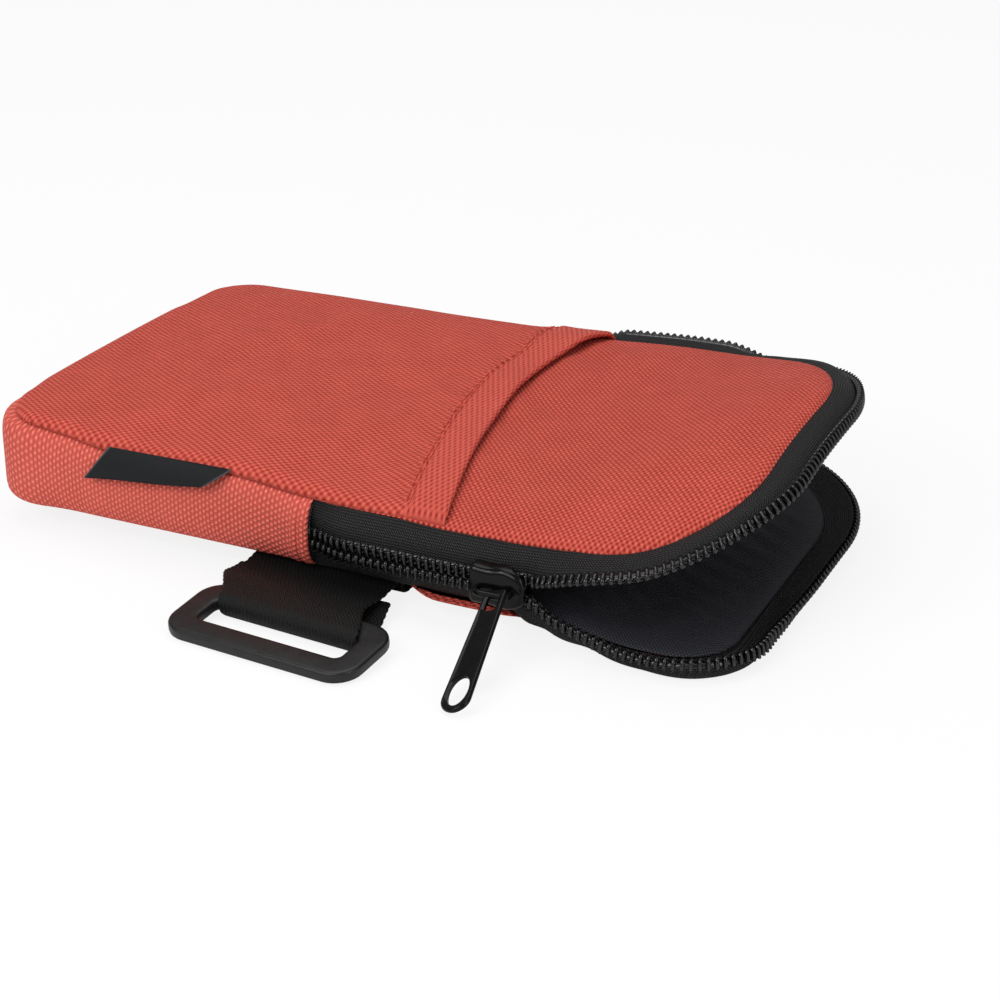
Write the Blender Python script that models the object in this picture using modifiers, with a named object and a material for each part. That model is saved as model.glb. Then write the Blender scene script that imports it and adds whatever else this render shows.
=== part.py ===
"""Flat padded pouch with a wraparound coil zip, standing open, with a strap ring and a folded strap.

The pouch lies on its back. The origin is on the surface it lies on, under the middle of the pouch,
+X points to the end that the zip opens, +Y away from the strap ring, and +Z up.
"""

import math

import bmesh
import bpy
from mathutils import Matrix, Vector

MM = 0.001

# Pouch outline, seen from above
CLOSED_END_X = -95 * MM
ZIP_END_X = 94 * MM
WIDTH = 109 * MM
CLOSED_CORNER = 13 * MM
FRONT_ZIP_CORNERS = (30 * MM, 46 * MM)
BACK_ZIP_CORNERS = (14 * MM, 46 * MM)

# Layers of the walls, and the gap kept between two pieces that touch
FABRIC = 0.8 * MM
FOAM = 2.0 * MM
LINING = 0.5 * MM
GAP = 0.3 * MM

# Height of the top over the back, along the near edge, the far edge and the middle
NEAR_VALLEY_HEIGHT = 15.6 * MM
NEAR_VALLEY_X = 6 * MM
NEAR_RISE_TO_CLOSED_END = 7.9 * MM
NEAR_RISE_TO_ZIP_END = 4.6 * MM
NEAR_VALLEY_ROUNDING = 3 * MM
FAR_CLOSED_END_HEIGHT = 22.7 * MM
FAR_HEIGHT = 23.2 * MM
FAR_RISE_TO_ZIP_END = 3.3 * MM
FAR_FULL_X = -30 * MM
FAR_RISE_X = 20 * MM
CROWN = 4.0 * MM
CROWN_RUN = 40 * MM
FLAP_ARCH = 7.6 * MM
FLAP_ARCH_X = 38 * MM
GUSSET_BULGE = 2.2 * MM

# Past the strap the back hangs down to the surface, most at its near side
FIRST_DROOP = 2.0 * MM
FIRST_DROOP_X = (13 * MM, 27 * MM)
LIP_DROOP = 4.3 * MM
LIP_DROOP_X = (45 * MM, 75 * MM)
FAR_DROOP_SHARE = 0.85
DROOP_END_Y = 25 * MM
DROOP_RUN = 75 * MM

# Places along the pouch where the panels bend
PANEL_COLUMNS = [x * MM for x in (-66, -50, -34, -19, -6, 4, 12, 16, 20, 24, 29, 37, 44, 57, 64)]
PANEL_ROWS = 9

# Front pocket and its hem
HEM_X = 19 * MM
HEM_SWEEP = 8 * MM
HEM_WIDTH = 12 * MM
HEM_THICKNESS = 1.6 * MM
POCKET_LIFT_X = (12 * MM, 40 * MM)

# Zip
ZIP_START_X = -6 * MM
TAPE = 0.6 * MM
TAPE_FINE_STEP = 2.7 * MM
TAPE_FINE_RUN = (38 * MM, 72 * MM)
LIP_CORNER_END = 116 * MM
TAPE_STEP = 7.0 * MM
CHAIN_OUT = 3.7 * MM
NEAR_CHAIN_HEIGHT = 7.2 * MM
FAR_CHAIN_HEIGHT = 11.9 * MM
TAPE_EDGE = 1.5 * MM
COIL_WIDTH = 3.25 * MM
COIL_THICKNESS = 2.2 * MM
COIL_PITCH = 1.9 * MM
COIL_HOLLOW = 0.72
COIL_SET_BACK = 0.35 * MM
CHAIN_SPREAD = 1.2 * MM
ZIP_OPEN_RUN = 6 * MM

# Open tapes, each as its reach and the angles of its chord and of its edge to the level
FLAP_CLOSED = (8.9 * MM, 62, 62)
FLAP_NEAR = (8.6 * MM, 20, 26)
FLAP_END = (7.2 * MM, 2, 40)
FLAP_FAR_START = (8.9 * MM, 85, 85)
FLAP_FAR = (8.6 * MM, 9, 18)
FLAP_CORNER = (6.2 * MM, 27, 50)
FLAP_NEAR_X = (44 * MM, 72 * MM)
FLAP_CORNER_X = (62 * MM, 82 * MM)
FLAP_CORNER_Y = (6 * MM, 36 * MM)
FAR_OPEN_RUN = 30 * MM
ZIP_FAR_OPEN_X = 24 * MM
LIP_CLOSED = (7.6 * MM, 61, 61)
LIP_NEAR = (5.9 * MM, 27, 83)
LIP_END = (7.2 * MM, 24, 40)
LIP_NEAR_X = (47 * MM, 74 * MM)
LIP_END_Y = (-44 * MM, -10 * MM)

# Hinge line of the flap
HINGE_X = 51 * MM
HINGE_WEDGE = 6.0

# Slider and pull
SLIDER_X = 43.9 * MM
SLIDER_LENGTH = 12.6 * MM
SLIDER_PLATE = 0.8 * MM
SLIDER_FLANGE = 0.85 * MM
SLIDER_NOSE_ROUND = 4.2 * MM
SLIDER_TAIL_ROUND = 1.2 * MM
BRIDGE_WIRE = 1.2 * MM
BRIDGE_LENGTH = 9.4 * MM
BRIDGE_CLEAR = 2.4 * MM
PULL_REACH = 32.8 * MM
PULL_THICKNESS = 0.9 * MM
PULL_EYE_WIDTH = 5.2 * MM
PULL_TIP_WIDTH = 7.4 * MM
PULL_EYE_HOLE = (3.4 * MM, 3.5 * MM)
PULL_END_BAR = 0.9 * MM
PULL_HOLE = (5.0 * MM, 8.4 * MM)
PULL_HOLE_RIM = 1.4 * MM
PULL_TWIST = 33
PULL_SWING = 13

# Strap webbing, hook and loop
WEBBING_WIDTH = 37 * MM
WEBBING = 1.2 * MM
HOOK_THICKNESS = 0.8 * MM
LOOP_THICKNESS = 0.8 * MM
PATCH_INSET = 2.0 * MM
STRAP_X = -4.7 * MM
STRAP_FAR_FOLD_Y = 50 * MM
STRAP_NEAR_FOLD_Y = -47 * MM
STRAP_TIP_Y = 46 * MM
LOOP_PATCH_Y = (-36 * MM, 34 * MM)
HOOK_PATCH_Y = (-4 * MM, 44 * MM)

# Strap ring, laid on the table on the near side
STRAP_SHIFT = 5.4 * MM
RING_FOLD_Y = -57.6 * MM
RING_FOLD_Z = 4.2 * MM
RING_BAR_Y = -74.2 * MM
RING_WIDTH = 51.0 * MM
RING_REAR_BAR = 7.0 * MM
RING_SLOT = (38.6 * MM, 8.6 * MM)
RING_FRONT_BAR = 6.4 * MM
RING_THICKNESS = 3.0 * MM
RING_CORNER = 6.5 * MM
RING_SLOT_CORNER = 1.8 * MM
RING_EDGE_ROUND = 0.9 * MM
RING_YAW = -4.8
RING_STRAP_END_Y = -61.6 * MM
GROUND_CLEAR = 0.1 * MM

# Side label, a folded ribbon
LABEL_X = (-61.7 * MM, -27.5 * MM)
LABEL_RISE = 1.5 * MM
LABEL_DROP = (7.4 * MM, 5.0 * MM)
LABEL_FLARE = 3.0 * MM
LABEL_SKEW = -5.5 * MM
LABEL_RIBBON = 0.35 * MM
LABEL_LOOP = 0.75 * MM

HALF_WIDTH = WIDTH / 2
LAYER = FABRIC + GAP
INNER_INSET = FABRIC + GAP + LINING + GAP
TAIL_OUTER_Z = WEBBING / 2
HOOK_Z = WEBBING + GAP + HOOK_THICKNESS / 2
LOOP_Z = HOOK_Z + HOOK_THICKNESS / 2 + GAP + LOOP_THICKNESS / 2
TAIL_INNER_Z = LOOP_Z + LOOP_THICKNESS / 2 + GAP + WEBBING / 2
ANCHOR_Z = TAIL_INNER_Z + WEBBING + GAP
BACK_Z = ANCHOR_Z + WEBBING / 2 + GAP
COLORS = {
    "red": (0.52, 0.055, 0.035, 1),
    "black_cloth": (0.012, 0.012, 0.014, 1),
    "black_tape": (0.010, 0.010, 0.011, 1),
    "black_nylon": (0.014, 0.014, 0.015, 1),
    "foam": (0.35, 0.35, 0.36, 1),
    "black_metal": (0.015, 0.015, 0.016, 1),
    "black_plastic": (0.020, 0.019, 0.019, 1),
    "black_webbing": (0.012, 0.012, 0.013, 1),
    "black_pile": (0.018, 0.018, 0.019, 1),
    "black_satin": (0.010, 0.010, 0.012, 1),
}
FINISHES = {"black_metal": (0.25, 0.6), "black_nylon": (0.3, 0.0), "black_plastic": (0.5, 0.0)}


def clear_scene():
    for obj in list(bpy.data.objects):
        bpy.data.objects.remove(obj, do_unlink=True)


clear_scene()
PARTS = bpy.data.collections.new("bottle_pouch")
CUTTERS = bpy.data.collections.new("cutters")
for group in (PARTS, CUTTERS):
    bpy.context.scene.collection.children.link(group)


def material(name, color):
    """A Principled material for one piece, in one of the pouch's finishes."""
    made = bpy.data.materials.new(name)
    made.use_nodes = True
    shader = made.node_tree.nodes["Principled BSDF"]
    roughness, metallic = FINISHES.get(color, (0.85, 0.0))
    shader.inputs["Base Color"].default_value = COLORS[color]
    shader.inputs["Roughness"].default_value = roughness
    shader.inputs["Metallic"].default_value = metallic
    made.diffuse_color = COLORS[color]
    return made


def add_object(name, mesh, color, collection=PARTS):
    obj = bpy.data.objects.new(name, mesh)
    collection.objects.link(obj)
    if collection is CUTTERS:
        obj.hide_render = True
        obj.display_type = "WIRE"
    else:
        mesh.materials.append(material(name, color))
    return obj


def smooth(value, start=0.0, end=1.0):
    """Rises from 0 at start to 1 at end, level at both."""
    t = min(max((value - start) / (end - start), 0.0), 1.0)
    return t * t * (3 - 2 * t)


def mix(a, b, t):
    return a + (b - a) * t


def mapped_slab(name, cells, rows, place, color, collection=PARTS):
    """A flat slab of cells by rows whose corner (i, j, k) goes to place(i, j, k); k is 0 or 1."""
    bm = bmesh.new()
    bmesh.ops.create_grid(bm, x_segments=cells, y_segments=rows, size=0.5)
    upper = set()
    extruded = bmesh.ops.extrude_face_region(bm, geom=bm.faces[:])
    for item in extruded["geom"]:
        if isinstance(item, bmesh.types.BMVert):
            upper.add(item)
    for vert in bm.verts:
        i = round((vert.co.x + 0.5) * cells)
        j = round((vert.co.y + 0.5) * rows)
        vert.co = place(i, j, 1 if vert in upper else 0)
    bmesh.ops.triangulate(bm, faces=bm.faces[:])
    bmesh.ops.recalc_face_normals(bm, faces=bm.faces[:])
    mesh = bpy.data.meshes.new(name)
    bm.to_mesh(mesh)
    bm.free()
    return add_object(name, mesh, color, collection)


def flat_plate(name, outlines, thickness, color, collection=PARTS):
    """A level plate from closed outlines, the first its edge and the others its holes."""
    curve = bpy.data.curves.new(name, "CURVE")
    curve.dimensions = "2D"
    curve.fill_mode = "BOTH"
    curve.extrude = thickness / 2
    for outline in outlines:
        spline = curve.splines.new("POLY")
        spline.points.add(len(outline) - 1)
        for point, (x, y) in zip(spline.points, outline):
            point.co = (x, y, 0, 1)
        spline.use_cyclic_u = True
    return curve_to_mesh(name, curve, color, collection)


def curve_to_mesh(name, curve, color, collection=PARTS):
    drawn = bpy.data.objects.new(name + "_curve", curve)
    PARTS.objects.link(drawn)
    bpy.context.view_layer.update()
    evaluated = drawn.evaluated_get(bpy.context.evaluated_depsgraph_get())
    mesh = bpy.data.meshes.new_from_object(evaluated)
    mesh.name = name
    bpy.data.objects.remove(drawn)
    bm = bmesh.new()
    bm.from_mesh(mesh)
    bmesh.ops.remove_doubles(bm, verts=bm.verts[:], dist=0.00001)
    bmesh.ops.recalc_face_normals(bm, faces=bm.faces[:])
    bm.to_mesh(mesh)
    bm.free()
    mesh.materials.clear()
    return add_object(name, mesh, color, collection)


def arc(centre, radius, start, end, steps):
    """Points of an arc, with its angles in degrees, both ends included."""
    points = []
    for step in range(steps + 1):
        angle = math.radians(mix(start, end, step / steps))
        points.append((centre[0] + radius * math.cos(angle), centre[1] + radius * math.sin(angle)))
    return points


def rounded_rectangle(low, high, radius, steps=5):
    corners = [
        (high[0] - radius, low[1] + radius, -90),
        (high[0] - radius, high[1] - radius, 0),
        (low[0] + radius, high[1] - radius, 90),
        (low[0] + radius, low[1] + radius, 180),
    ]
    points = []
    for x, y, start in corners:
        points.extend(arc((x, y), radius, start, start + 90, steps))
    return points


def cut(obj, cutter, operation="DIFFERENCE"):
    boolean = obj.modifiers.new(cutter.name, "BOOLEAN")
    boolean.operation = operation
    boolean.solver = "EXACT"
    boolean.object = cutter


def bevel(obj, width, segments=2):
    rounding = obj.modifiers.new("edges", "BEVEL")
    rounding.width = width
    rounding.segments = segments
    rounding.limit_method = "ANGLE"
    rounding.angle_limit = math.radians(40)
    rounding.use_clamp_overlap = False


def pivot(name, place, parent=None):
    """An empty on a joint's axis, which its moving pieces hang from."""
    empty = bpy.data.objects.new(name, None)
    PARTS.objects.link(empty)
    empty.empty_display_size = 0.01
    empty.parent = parent
    empty.location = place - (parent.matrix_world.translation if parent else Vector((0, 0, 0)))
    bpy.context.view_layer.update()
    return empty


def hang(obj, empty):
    """Puts the object's origin on the joint's axis and parents it there."""
    obj.data.transform(Matrix.Translation(-empty.matrix_world.translation))
    obj.parent = empty


# Heights of the soft shell

def crown_across(y):
    return 1 - abs(y / HALF_WIDTH) ** 3


def near_height(x):
    """Near top edge: straight falls from both ends to a rounded valley."""
    away = x - NEAR_VALLEY_X
    rounded = math.hypot(away, NEAR_VALLEY_ROUNDING) - NEAR_VALLEY_ROUNDING
    if away < 0:
        return NEAR_VALLEY_HEIGHT + rounded * NEAR_RISE_TO_CLOSED_END / (NEAR_VALLEY_X - CLOSED_END_X)
    return NEAR_VALLEY_HEIGHT + rounded * NEAR_RISE_TO_ZIP_END / (ZIP_END_X - NEAR_VALLEY_X)


def far_height(x):
    risen = (FAR_HEIGHT - FAR_CLOSED_END_HEIGHT) * smooth(x, CLOSED_END_X, FAR_FULL_X)
    return FAR_CLOSED_END_HEIGHT + risen + FAR_RISE_TO_ZIP_END * smooth(x, FAR_RISE_X, ZIP_END_X)


def arch_along(x):
    return FLAP_ARCH * smooth(x, FLAP_ARCH_X, ZIP_END_X)


def outer_top(x, y):
    """Top of the outermost layer over the resting surface: an edge line, a crown and the flap's arch."""
    across = (y / HALF_WIDTH + 1) / 2
    edge = mix(near_height(x), far_height(x), across)
    crown = CROWN * smooth(x, CLOSED_END_X, CLOSED_END_X + CROWN_RUN) * crown_across(y)
    arch = arch_along(x) * (1 - abs(y / HALF_WIDTH) ** 2.2)
    return BACK_Z + edge + crown + arch


def front_top(x, y):
    """Top of the front panel, which dips one layer under the pocket."""
    return outer_top(x, y) - LAYER * (1 - smooth(x, *POCKET_LIFT_X))


def back_under(x, y):
    """Underside of the back panel, drooping at the near corner of the zip end."""
    across = smooth(DROOP_END_Y - y, 0, DROOP_RUN)
    lip = LIP_DROOP * smooth(x, *LIP_DROOP_X) * mix(FAR_DROOP_SHARE, 1, across)
    return BACK_Z - FIRST_DROOP * smooth(x, *FIRST_DROOP_X) * across - lip


def rim_top(x, y):
    return front_top(x, y) - LAYER


def rim_bottom(x, y):
    return back_under(x, y) + LAYER


def end_reach(way):
    """Distance from the origin to the zip end (way 1) or the closed end (way -1)."""
    return ZIP_END_X if way > 0 else -CLOSED_END_X


def edge_y(x, side, corners, inset=0.0):
    """Place across of the outline's near (side 0) or far (side 1) edge at x, drawn in by inset."""
    reach = HALF_WIDTH - inset
    for corner, way in ((CLOSED_CORNER, -1), (corners[side], 1)):
        past = way * x - (end_reach(way) - corner)
        if past > 0:
            radius = corner - inset
            reach = HALF_WIDTH - corner + math.sqrt(max(radius ** 2 - past ** 2, 0))
    return reach if side else -reach


def corner_stations(corner, inset, steps):
    """Distances from a corner's start to the end of the pouch, close together near the end."""
    stations = []
    for step in range(1, steps + 1):
        stations.append((corner - inset) * math.sin(math.radians(90 * step / steps)))
    return stations


def columns(start, end, inset=0.0, closed_steps=5, zip_steps=8):
    """Places along the pouch for a panel; start or end is None where it runs round that end."""
    corner = max(FRONT_ZIP_CORNERS)
    low, high = CLOSED_END_X + CLOSED_CORNER, ZIP_END_X - corner
    found = [low - away for away in reversed(corner_stations(CLOSED_CORNER, inset, closed_steps))]
    found += [low] + [x for x in PANEL_COLUMNS if low < x < high] + [high]
    found += [high + away for away in corner_stations(corner, inset, zip_steps)]
    if start is not None:
        found = [start] + [x for x in found if x > start + 1 * MM]
    if end is not None:
        found = [x for x in found if x < end - 1 * MM] + [end]
    return found


def panel(name, places, low, high, color, inset=0.0, shift=None, corners=FRONT_ZIP_CORNERS):
    """A layer over the outline between two height functions; shift(x, y, z) moves its cut edge."""
    def place(i, j, k):
        x = places[i]
        y = mix(edge_y(x, 0, corners, inset), edge_y(x, 1, corners, inset), j / PANEL_ROWS)
        z = (low, high)[k](x, y)
        if shift:
            x += shift(x, y, z)
        return Vector((x, y, z))
    return mapped_slab(name, len(places) - 1, PANEL_ROWS, place, color)


# Flap hinge line: along the two top edges, raised over the crown

def hinge_height(y):
    rise = CROWN + arch_along(HINGE_X) + 2 * GAP
    across = (y / HALF_WIDTH + 1) / 2
    return BACK_Z + rise + mix(near_height(HINGE_X), far_height(HINGE_X), across)


def flap_shift(x, y, z, reach=24 * MM):
    """Moves the flap's cut edge along, more the deeper it lies, so that it can close a little."""
    depth = hinge_height(y) - z
    fade = 1 - smooth(x, HINGE_X, HINGE_X + reach)
    return depth * math.tan(math.radians(HINGE_WEDGE)) * fade


# Outline as a path, for the gusset and the zip tapes

def rim_runs(start_x, way, corners):
    """Lengths of the outline's near side, near corner, end, far corner and far side."""
    near, far = corners
    side = end_reach(way) - way * start_x
    turn = math.pi / 2
    return side - near, turn * near, WIDTH - near - far, turn * far, side - far


def rim_length(start_x, way, corners):
    return sum(rim_runs(start_x, way, corners))


def rim_point(distance, start_x, way, corners):
    """Point and outward direction on the outline, from the near side at start_x round one end."""
    side, near_turn, end, far_turn, _ = rim_runs(start_x, way, corners)
    near, far = corners
    reach = end_reach(way)
    on_near_turn = distance - side
    on_end = on_near_turn - near_turn
    on_far_turn = on_end - end
    on_far_side = on_far_turn - far_turn
    if on_near_turn < 0:
        x, y, out = way * start_x + distance, -HALF_WIDTH, (0.0, -1.0)
    elif on_end < 0:
        angle = on_near_turn / near
        out = (math.sin(angle), -math.cos(angle))
        x, y = reach - near + near * out[0], -HALF_WIDTH + near + near * out[1]
    elif on_far_turn < 0:
        x, y, out = reach, -HALF_WIDTH + near + on_end, (1.0, 0.0)
    elif on_far_side < 0:
        angle = on_far_turn / far
        out = (math.cos(angle), math.sin(angle))
        x, y = reach - far + far * out[0], HALF_WIDTH - far + far * out[1]
    else:
        x, y, out = reach - far - on_far_side, HALF_WIDTH, (0.0, 1.0)
    return Vector((way * x, y, 0)), Vector((way * out[0], out[1], 0))


def gusset_bulge(t):
    return GUSSET_BULGE * 4 * max(t * (1 - t), 0)


def build_gusset():
    """Side wall from the zip's near start round the closed end to its far start, with its lining."""
    cells, rows = 44, 4
    corners = (CLOSED_CORNER, CLOSED_CORNER)
    total = rim_length(ZIP_START_X, -1, corners)
    layers = (("gusset", 0.0, FABRIC, "red"), ("gusset_lining", LAYER, LAYER + LINING, "black_cloth"))
    for name, outer, inner, color in layers:
        def place(i, j, k):
            point, out = rim_point(total * i / cells, ZIP_START_X, -1, corners)
            t = j / rows
            height = mix(rim_bottom(point.x, point.y), rim_top(point.x, point.y), t)
            return point + out * (gusset_bulge(t) - (outer, inner)[k]) + Vector((0, 0, height))
        mapped_slab(name, cells, rows, place, color)


# Zip tapes and coils, in a section that runs outward and up from the outline

def chain_spread(x):
    """How far the two coils part inside the slider, towards its nose."""
    nose = SLIDER_X + SLIDER_LENGTH / 2
    return CHAIN_SPREAD * smooth(x, nose - 0.6 * SLIDER_LENGTH, nose)


def mix_all(first, second, t):
    return [mix(a, b, t) for a, b in zip(first, second)]


def tape_section(x, y, side):
    """Seam, handle, edge and end direction of a tape; side is 1 for the flap's and -1 for the lip's."""
    far = smooth((y / HALF_WIDTH + 1) / 2)
    far_opening = smooth(x, ZIP_START_X, ZIP_START_X + FAR_OPEN_RUN)
    nose = SLIDER_X + SLIDER_LENGTH / 2
    closed = mix(1 - smooth(x, nose, nose + ZIP_OPEN_RUN), 1 - far_opening, far)
    if side > 0:
        near_values = mix_all(FLAP_CLOSED, FLAP_NEAR, smooth(x, *FLAP_NEAR_X))
        near_values = mix_all(near_values, FLAP_END, smooth(x, FLAP_NEAR_X[1], ZIP_END_X))
        far_values = mix_all(FLAP_FAR_START, FLAP_FAR, far_opening)
        corner = smooth(x, *FLAP_CORNER_X) * smooth(y, *FLAP_CORNER_Y)
        values = mix_all(mix_all(near_values, far_values, far), FLAP_CORNER, corner)
        seam = Vector((0, rim_top(x, y)))
    else:
        values = mix_all(LIP_CLOSED, LIP_NEAR, smooth(x, *LIP_NEAR_X))
        past_near = max(smooth(y, *LIP_END_Y), far)
        values = mix_all(values, LIP_END, past_near * smooth(x, 0, ZIP_FAR_OPEN_X))
        seam = Vector((0, rim_bottom(x, y)))
    span, chord, end_angle = values
    chord, end_angle = math.radians(chord), math.radians(end_angle)
    open_edge = seam + span * Vector((math.cos(chord), -side * math.sin(chord)))
    chain = BACK_Z + mix(NEAR_CHAIN_HEIGHT, FAR_CHAIN_HEIGHT, far)
    closed_edge = Vector((CHAIN_OUT, chain + side * (TAPE_EDGE + chain_spread(x))))
    edge = open_edge.lerp(closed_edge, closed)
    end_angle = mix(end_angle, math.pi / 2, closed)
    end_way = Vector((math.cos(end_angle), -side * math.sin(end_angle)))
    handle = edge - end_way * (edge - seam).length * 0.52
    return seam, handle, edge, end_way


def outward_normal(way, side):
    return Vector((-side * way.y, side * way.x))


def zip_corners(side):
    return FRONT_ZIP_CORNERS if side > 0 else BACK_ZIP_CORNERS


def zip_place(distance, side, offset_at, flap):
    """World place of a point on a tape's section, moved along at the flap's cut edge."""
    point, out = rim_point(distance, ZIP_START_X, 1, zip_corners(side))
    along, up = offset_at(point.x, point.y)
    place = point + out * along + Vector((0, 0, up))
    if flap:
        place.x += flap_shift(point.x, point.y, place.z, 12 * MM)
    return place


def tape_stations(start, end, side):
    """Distances along a tape's path, closer together where the zip opens."""
    found = [start]
    far_start = rim_length(ZIP_START_X, 1, zip_corners(side)) - FAR_OPEN_RUN - ZIP_OPEN_RUN
    while True:
        at = found[-1]
        near_corner = side < 0 and TAPE_FINE_RUN[1] < at < LIP_CORNER_END
        opening = TAPE_FINE_RUN[0] < at < TAPE_FINE_RUN[1] or near_corner or at > far_start
        step = TAPE_FINE_STEP if opening else TAPE_STEP
        if at + 1.3 * step > end:
            return found + [end]
        found.append(at + step)


def build_tape(name, start, end, side, flap=False):
    rows = 3
    stations = tape_stations(start, end, side)

    def place(i, j, k):
        def offset_at(x, y):
            seam, handle, edge, _ = tape_section(x, y, side)
            t = j / rows
            point = seam * (1 - t) ** 2 + handle * 2 * t * (1 - t) + edge * t ** 2
            way = (handle - seam) * (1 - t) + (edge - handle) * t
            return point - outward_normal(way.normalized(), side) * TAPE * k
        return zip_place(stations[i], side, offset_at, flap)
    return mapped_slab(name, len(stations) - 1, rows, place, "black_tape")


def build_coil(name, start, end, side, flap=False):
    """A coil as a ribbed bead on the tape's outer face: every other ring is drawn in."""
    ribs = max(round((end - start) / COIL_PITCH), 1)

    def place(i, j, k):
        size = COIL_HOLLOW if i % 2 else 1.0

        def offset_at(x, y):
            _, _, edge, way = tape_section(x, y, side)
            normal = outward_normal(way, side)
            height = GAP + COIL_THICKNESS * size * (1 - k)
            across = (2 * j - 1) * COIL_WIDTH / 2 * mix(1, size, 0.5)
            return edge - way * COIL_SET_BACK + normal * height + way * across
        return zip_place(mix(start, end, i / (2 * ribs)), side, offset_at, flap)
    return mapped_slab(name, 2 * ribs, 1, place, "black_nylon")


def build_zip():
    total = rim_length(ZIP_START_X, 1, FRONT_ZIP_CORNERS)
    back_total = rim_length(ZIP_START_X, 1, BACK_ZIP_CORNERS)
    hinge = HINGE_X - ZIP_START_X
    start, near_end, far_start = GAP, hinge - GAP / 2, total - hinge + GAP / 2
    build_tape("zip_tape_front_near", start, near_end, 1)
    build_tape("zip_tape_front_far", far_start, total - start, 1)
    build_tape("zip_tape_flap", near_end + GAP, far_start - GAP, 1, flap=True)
    build_tape("zip_tape_back", start, back_total - start, -1)
    build_coil("zip_coil_front_near", start + GAP, near_end, 1)
    build_coil("zip_coil_front_far", far_start, total - start - GAP, 1)
    build_coil("zip_coil_flap", near_end + GAP, far_start - GAP, 1, flap=True)
    build_coil("zip_coil_back", start + GAP, back_total - start - GAP, -1)


def below(surface, depth):
    return lambda x, y: surface(x, y) - depth


def build_back():
    foam, lining = LAYER + FOAM, LAYER + FOAM + GAP + LINING
    corners = BACK_ZIP_CORNERS
    panel("back_panel", columns(None, None), back_under, below(back_under, -FABRIC), "red",
          corners=corners)
    inner = columns(None, None, INNER_INSET)
    panel("back_foam", inner, below(back_under, -LAYER), below(back_under, -foam), "foam",
          INNER_INSET, corners=corners)
    panel("back_lining", inner, below(back_under, -foam - GAP), below(back_under, -lining),
          "black_cloth", INNER_INSET, corners=corners)


def build_front():
    """Front panel, foam and lining, each cut at the flap's hinge line."""
    foam, lining = LAYER + FOAM, LAYER + FOAM + GAP + LINING
    layers = (
        ("panel", 0.0, FABRIC, "red", 0.0),
        ("foam", LAYER, foam, "foam", INNER_INSET),
        ("lining", foam + GAP, lining, "black_cloth", INNER_INSET),
    )
    for name, upper, lower, color, inset in layers:
        low, high = below(front_top, lower), below(front_top, upper)
        fixed = columns(None, HINGE_X - GAP / 2, inset)
        panel("front_" + name, fixed, low, high, color, inset)
        moving = columns(HINGE_X + GAP / 2, None, inset)
        panel("flap_" + name, moving, low, high, color, inset, flap_shift)


def hem_edge(y):
    return HEM_X + HEM_SWEEP * (y / HALF_WIDTH) ** 2


def build_pocket():
    """Pocket panel over the front, and the folded hem along its opening."""
    places = columns(None, HEM_X - HEM_WIDTH - GAP)
    hold = places[5]

    def sweep(x, y, z):
        run = (x - hold) / (places[-1] - hold)
        return (hem_edge(y) - HEM_X) * max(run, 0.0)

    def pocket_low(x, y):
        return front_top(x + sweep(x, y, 0), y) + GAP

    def pocket_high(x, y):
        return pocket_low(x, y) + FABRIC
    panel("pocket_panel", places, pocket_low, pocket_high, "red", 0.0, sweep)

    cells, rows = 4, PANEL_ROWS

    def place(i, j, k):
        y = (2 * j / rows - 1) * HALF_WIDTH
        x = hem_edge(y) - HEM_WIDTH * (1 - i / cells)
        return Vector((x, y, front_top(x, y) + GAP + HEM_THICKNESS * k))
    mapped_slab("pocket_hem", cells, rows, place, "red")


def build_label():
    """A short ribbon folded in half, its two ends caught in the near top seam."""
    cells, rows = 6, 12
    half = rows // 2

    def place(i, j, k):
        fall = 1 - abs(j - half) / half
        leaf = 1 if j < half else -1
        x = mix(LABEL_X[0], LABEL_X[1], i / cells)
        top, bottom = rim_top(x, -HALF_WIDTH), rim_bottom(x, -HALF_WIDTH)
        height = top + LABEL_RISE - mix(*LABEL_DROP, i / cells) * fall
        loop = LABEL_LOOP * math.sin(math.pi * min(fall, 0.94))
        spread = leaf * (loop + GAP / 2 + LABEL_RIBBON * k)
        if j == half:
            spread = 0.0
            height -= LABEL_RIBBON * k
        clear = 2 * GAP + LABEL_RIBBON + loop + LABEL_FLARE * fall
        out = HALF_WIDTH + gusset_bulge((height - bottom) / (top - bottom)) + clear + spread
        return Vector((x + LABEL_SKEW * fall, -out, height))
    mapped_slab("side_label", cells, rows, place, "black_satin")


# Slider, in a frame with X along the chain, Y to the far side and Z up

def slider_half_width(x):
    return TAPE_EDGE + chain_spread(x) - COIL_SET_BACK + COIL_WIDTH / 2 + GAP


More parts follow.
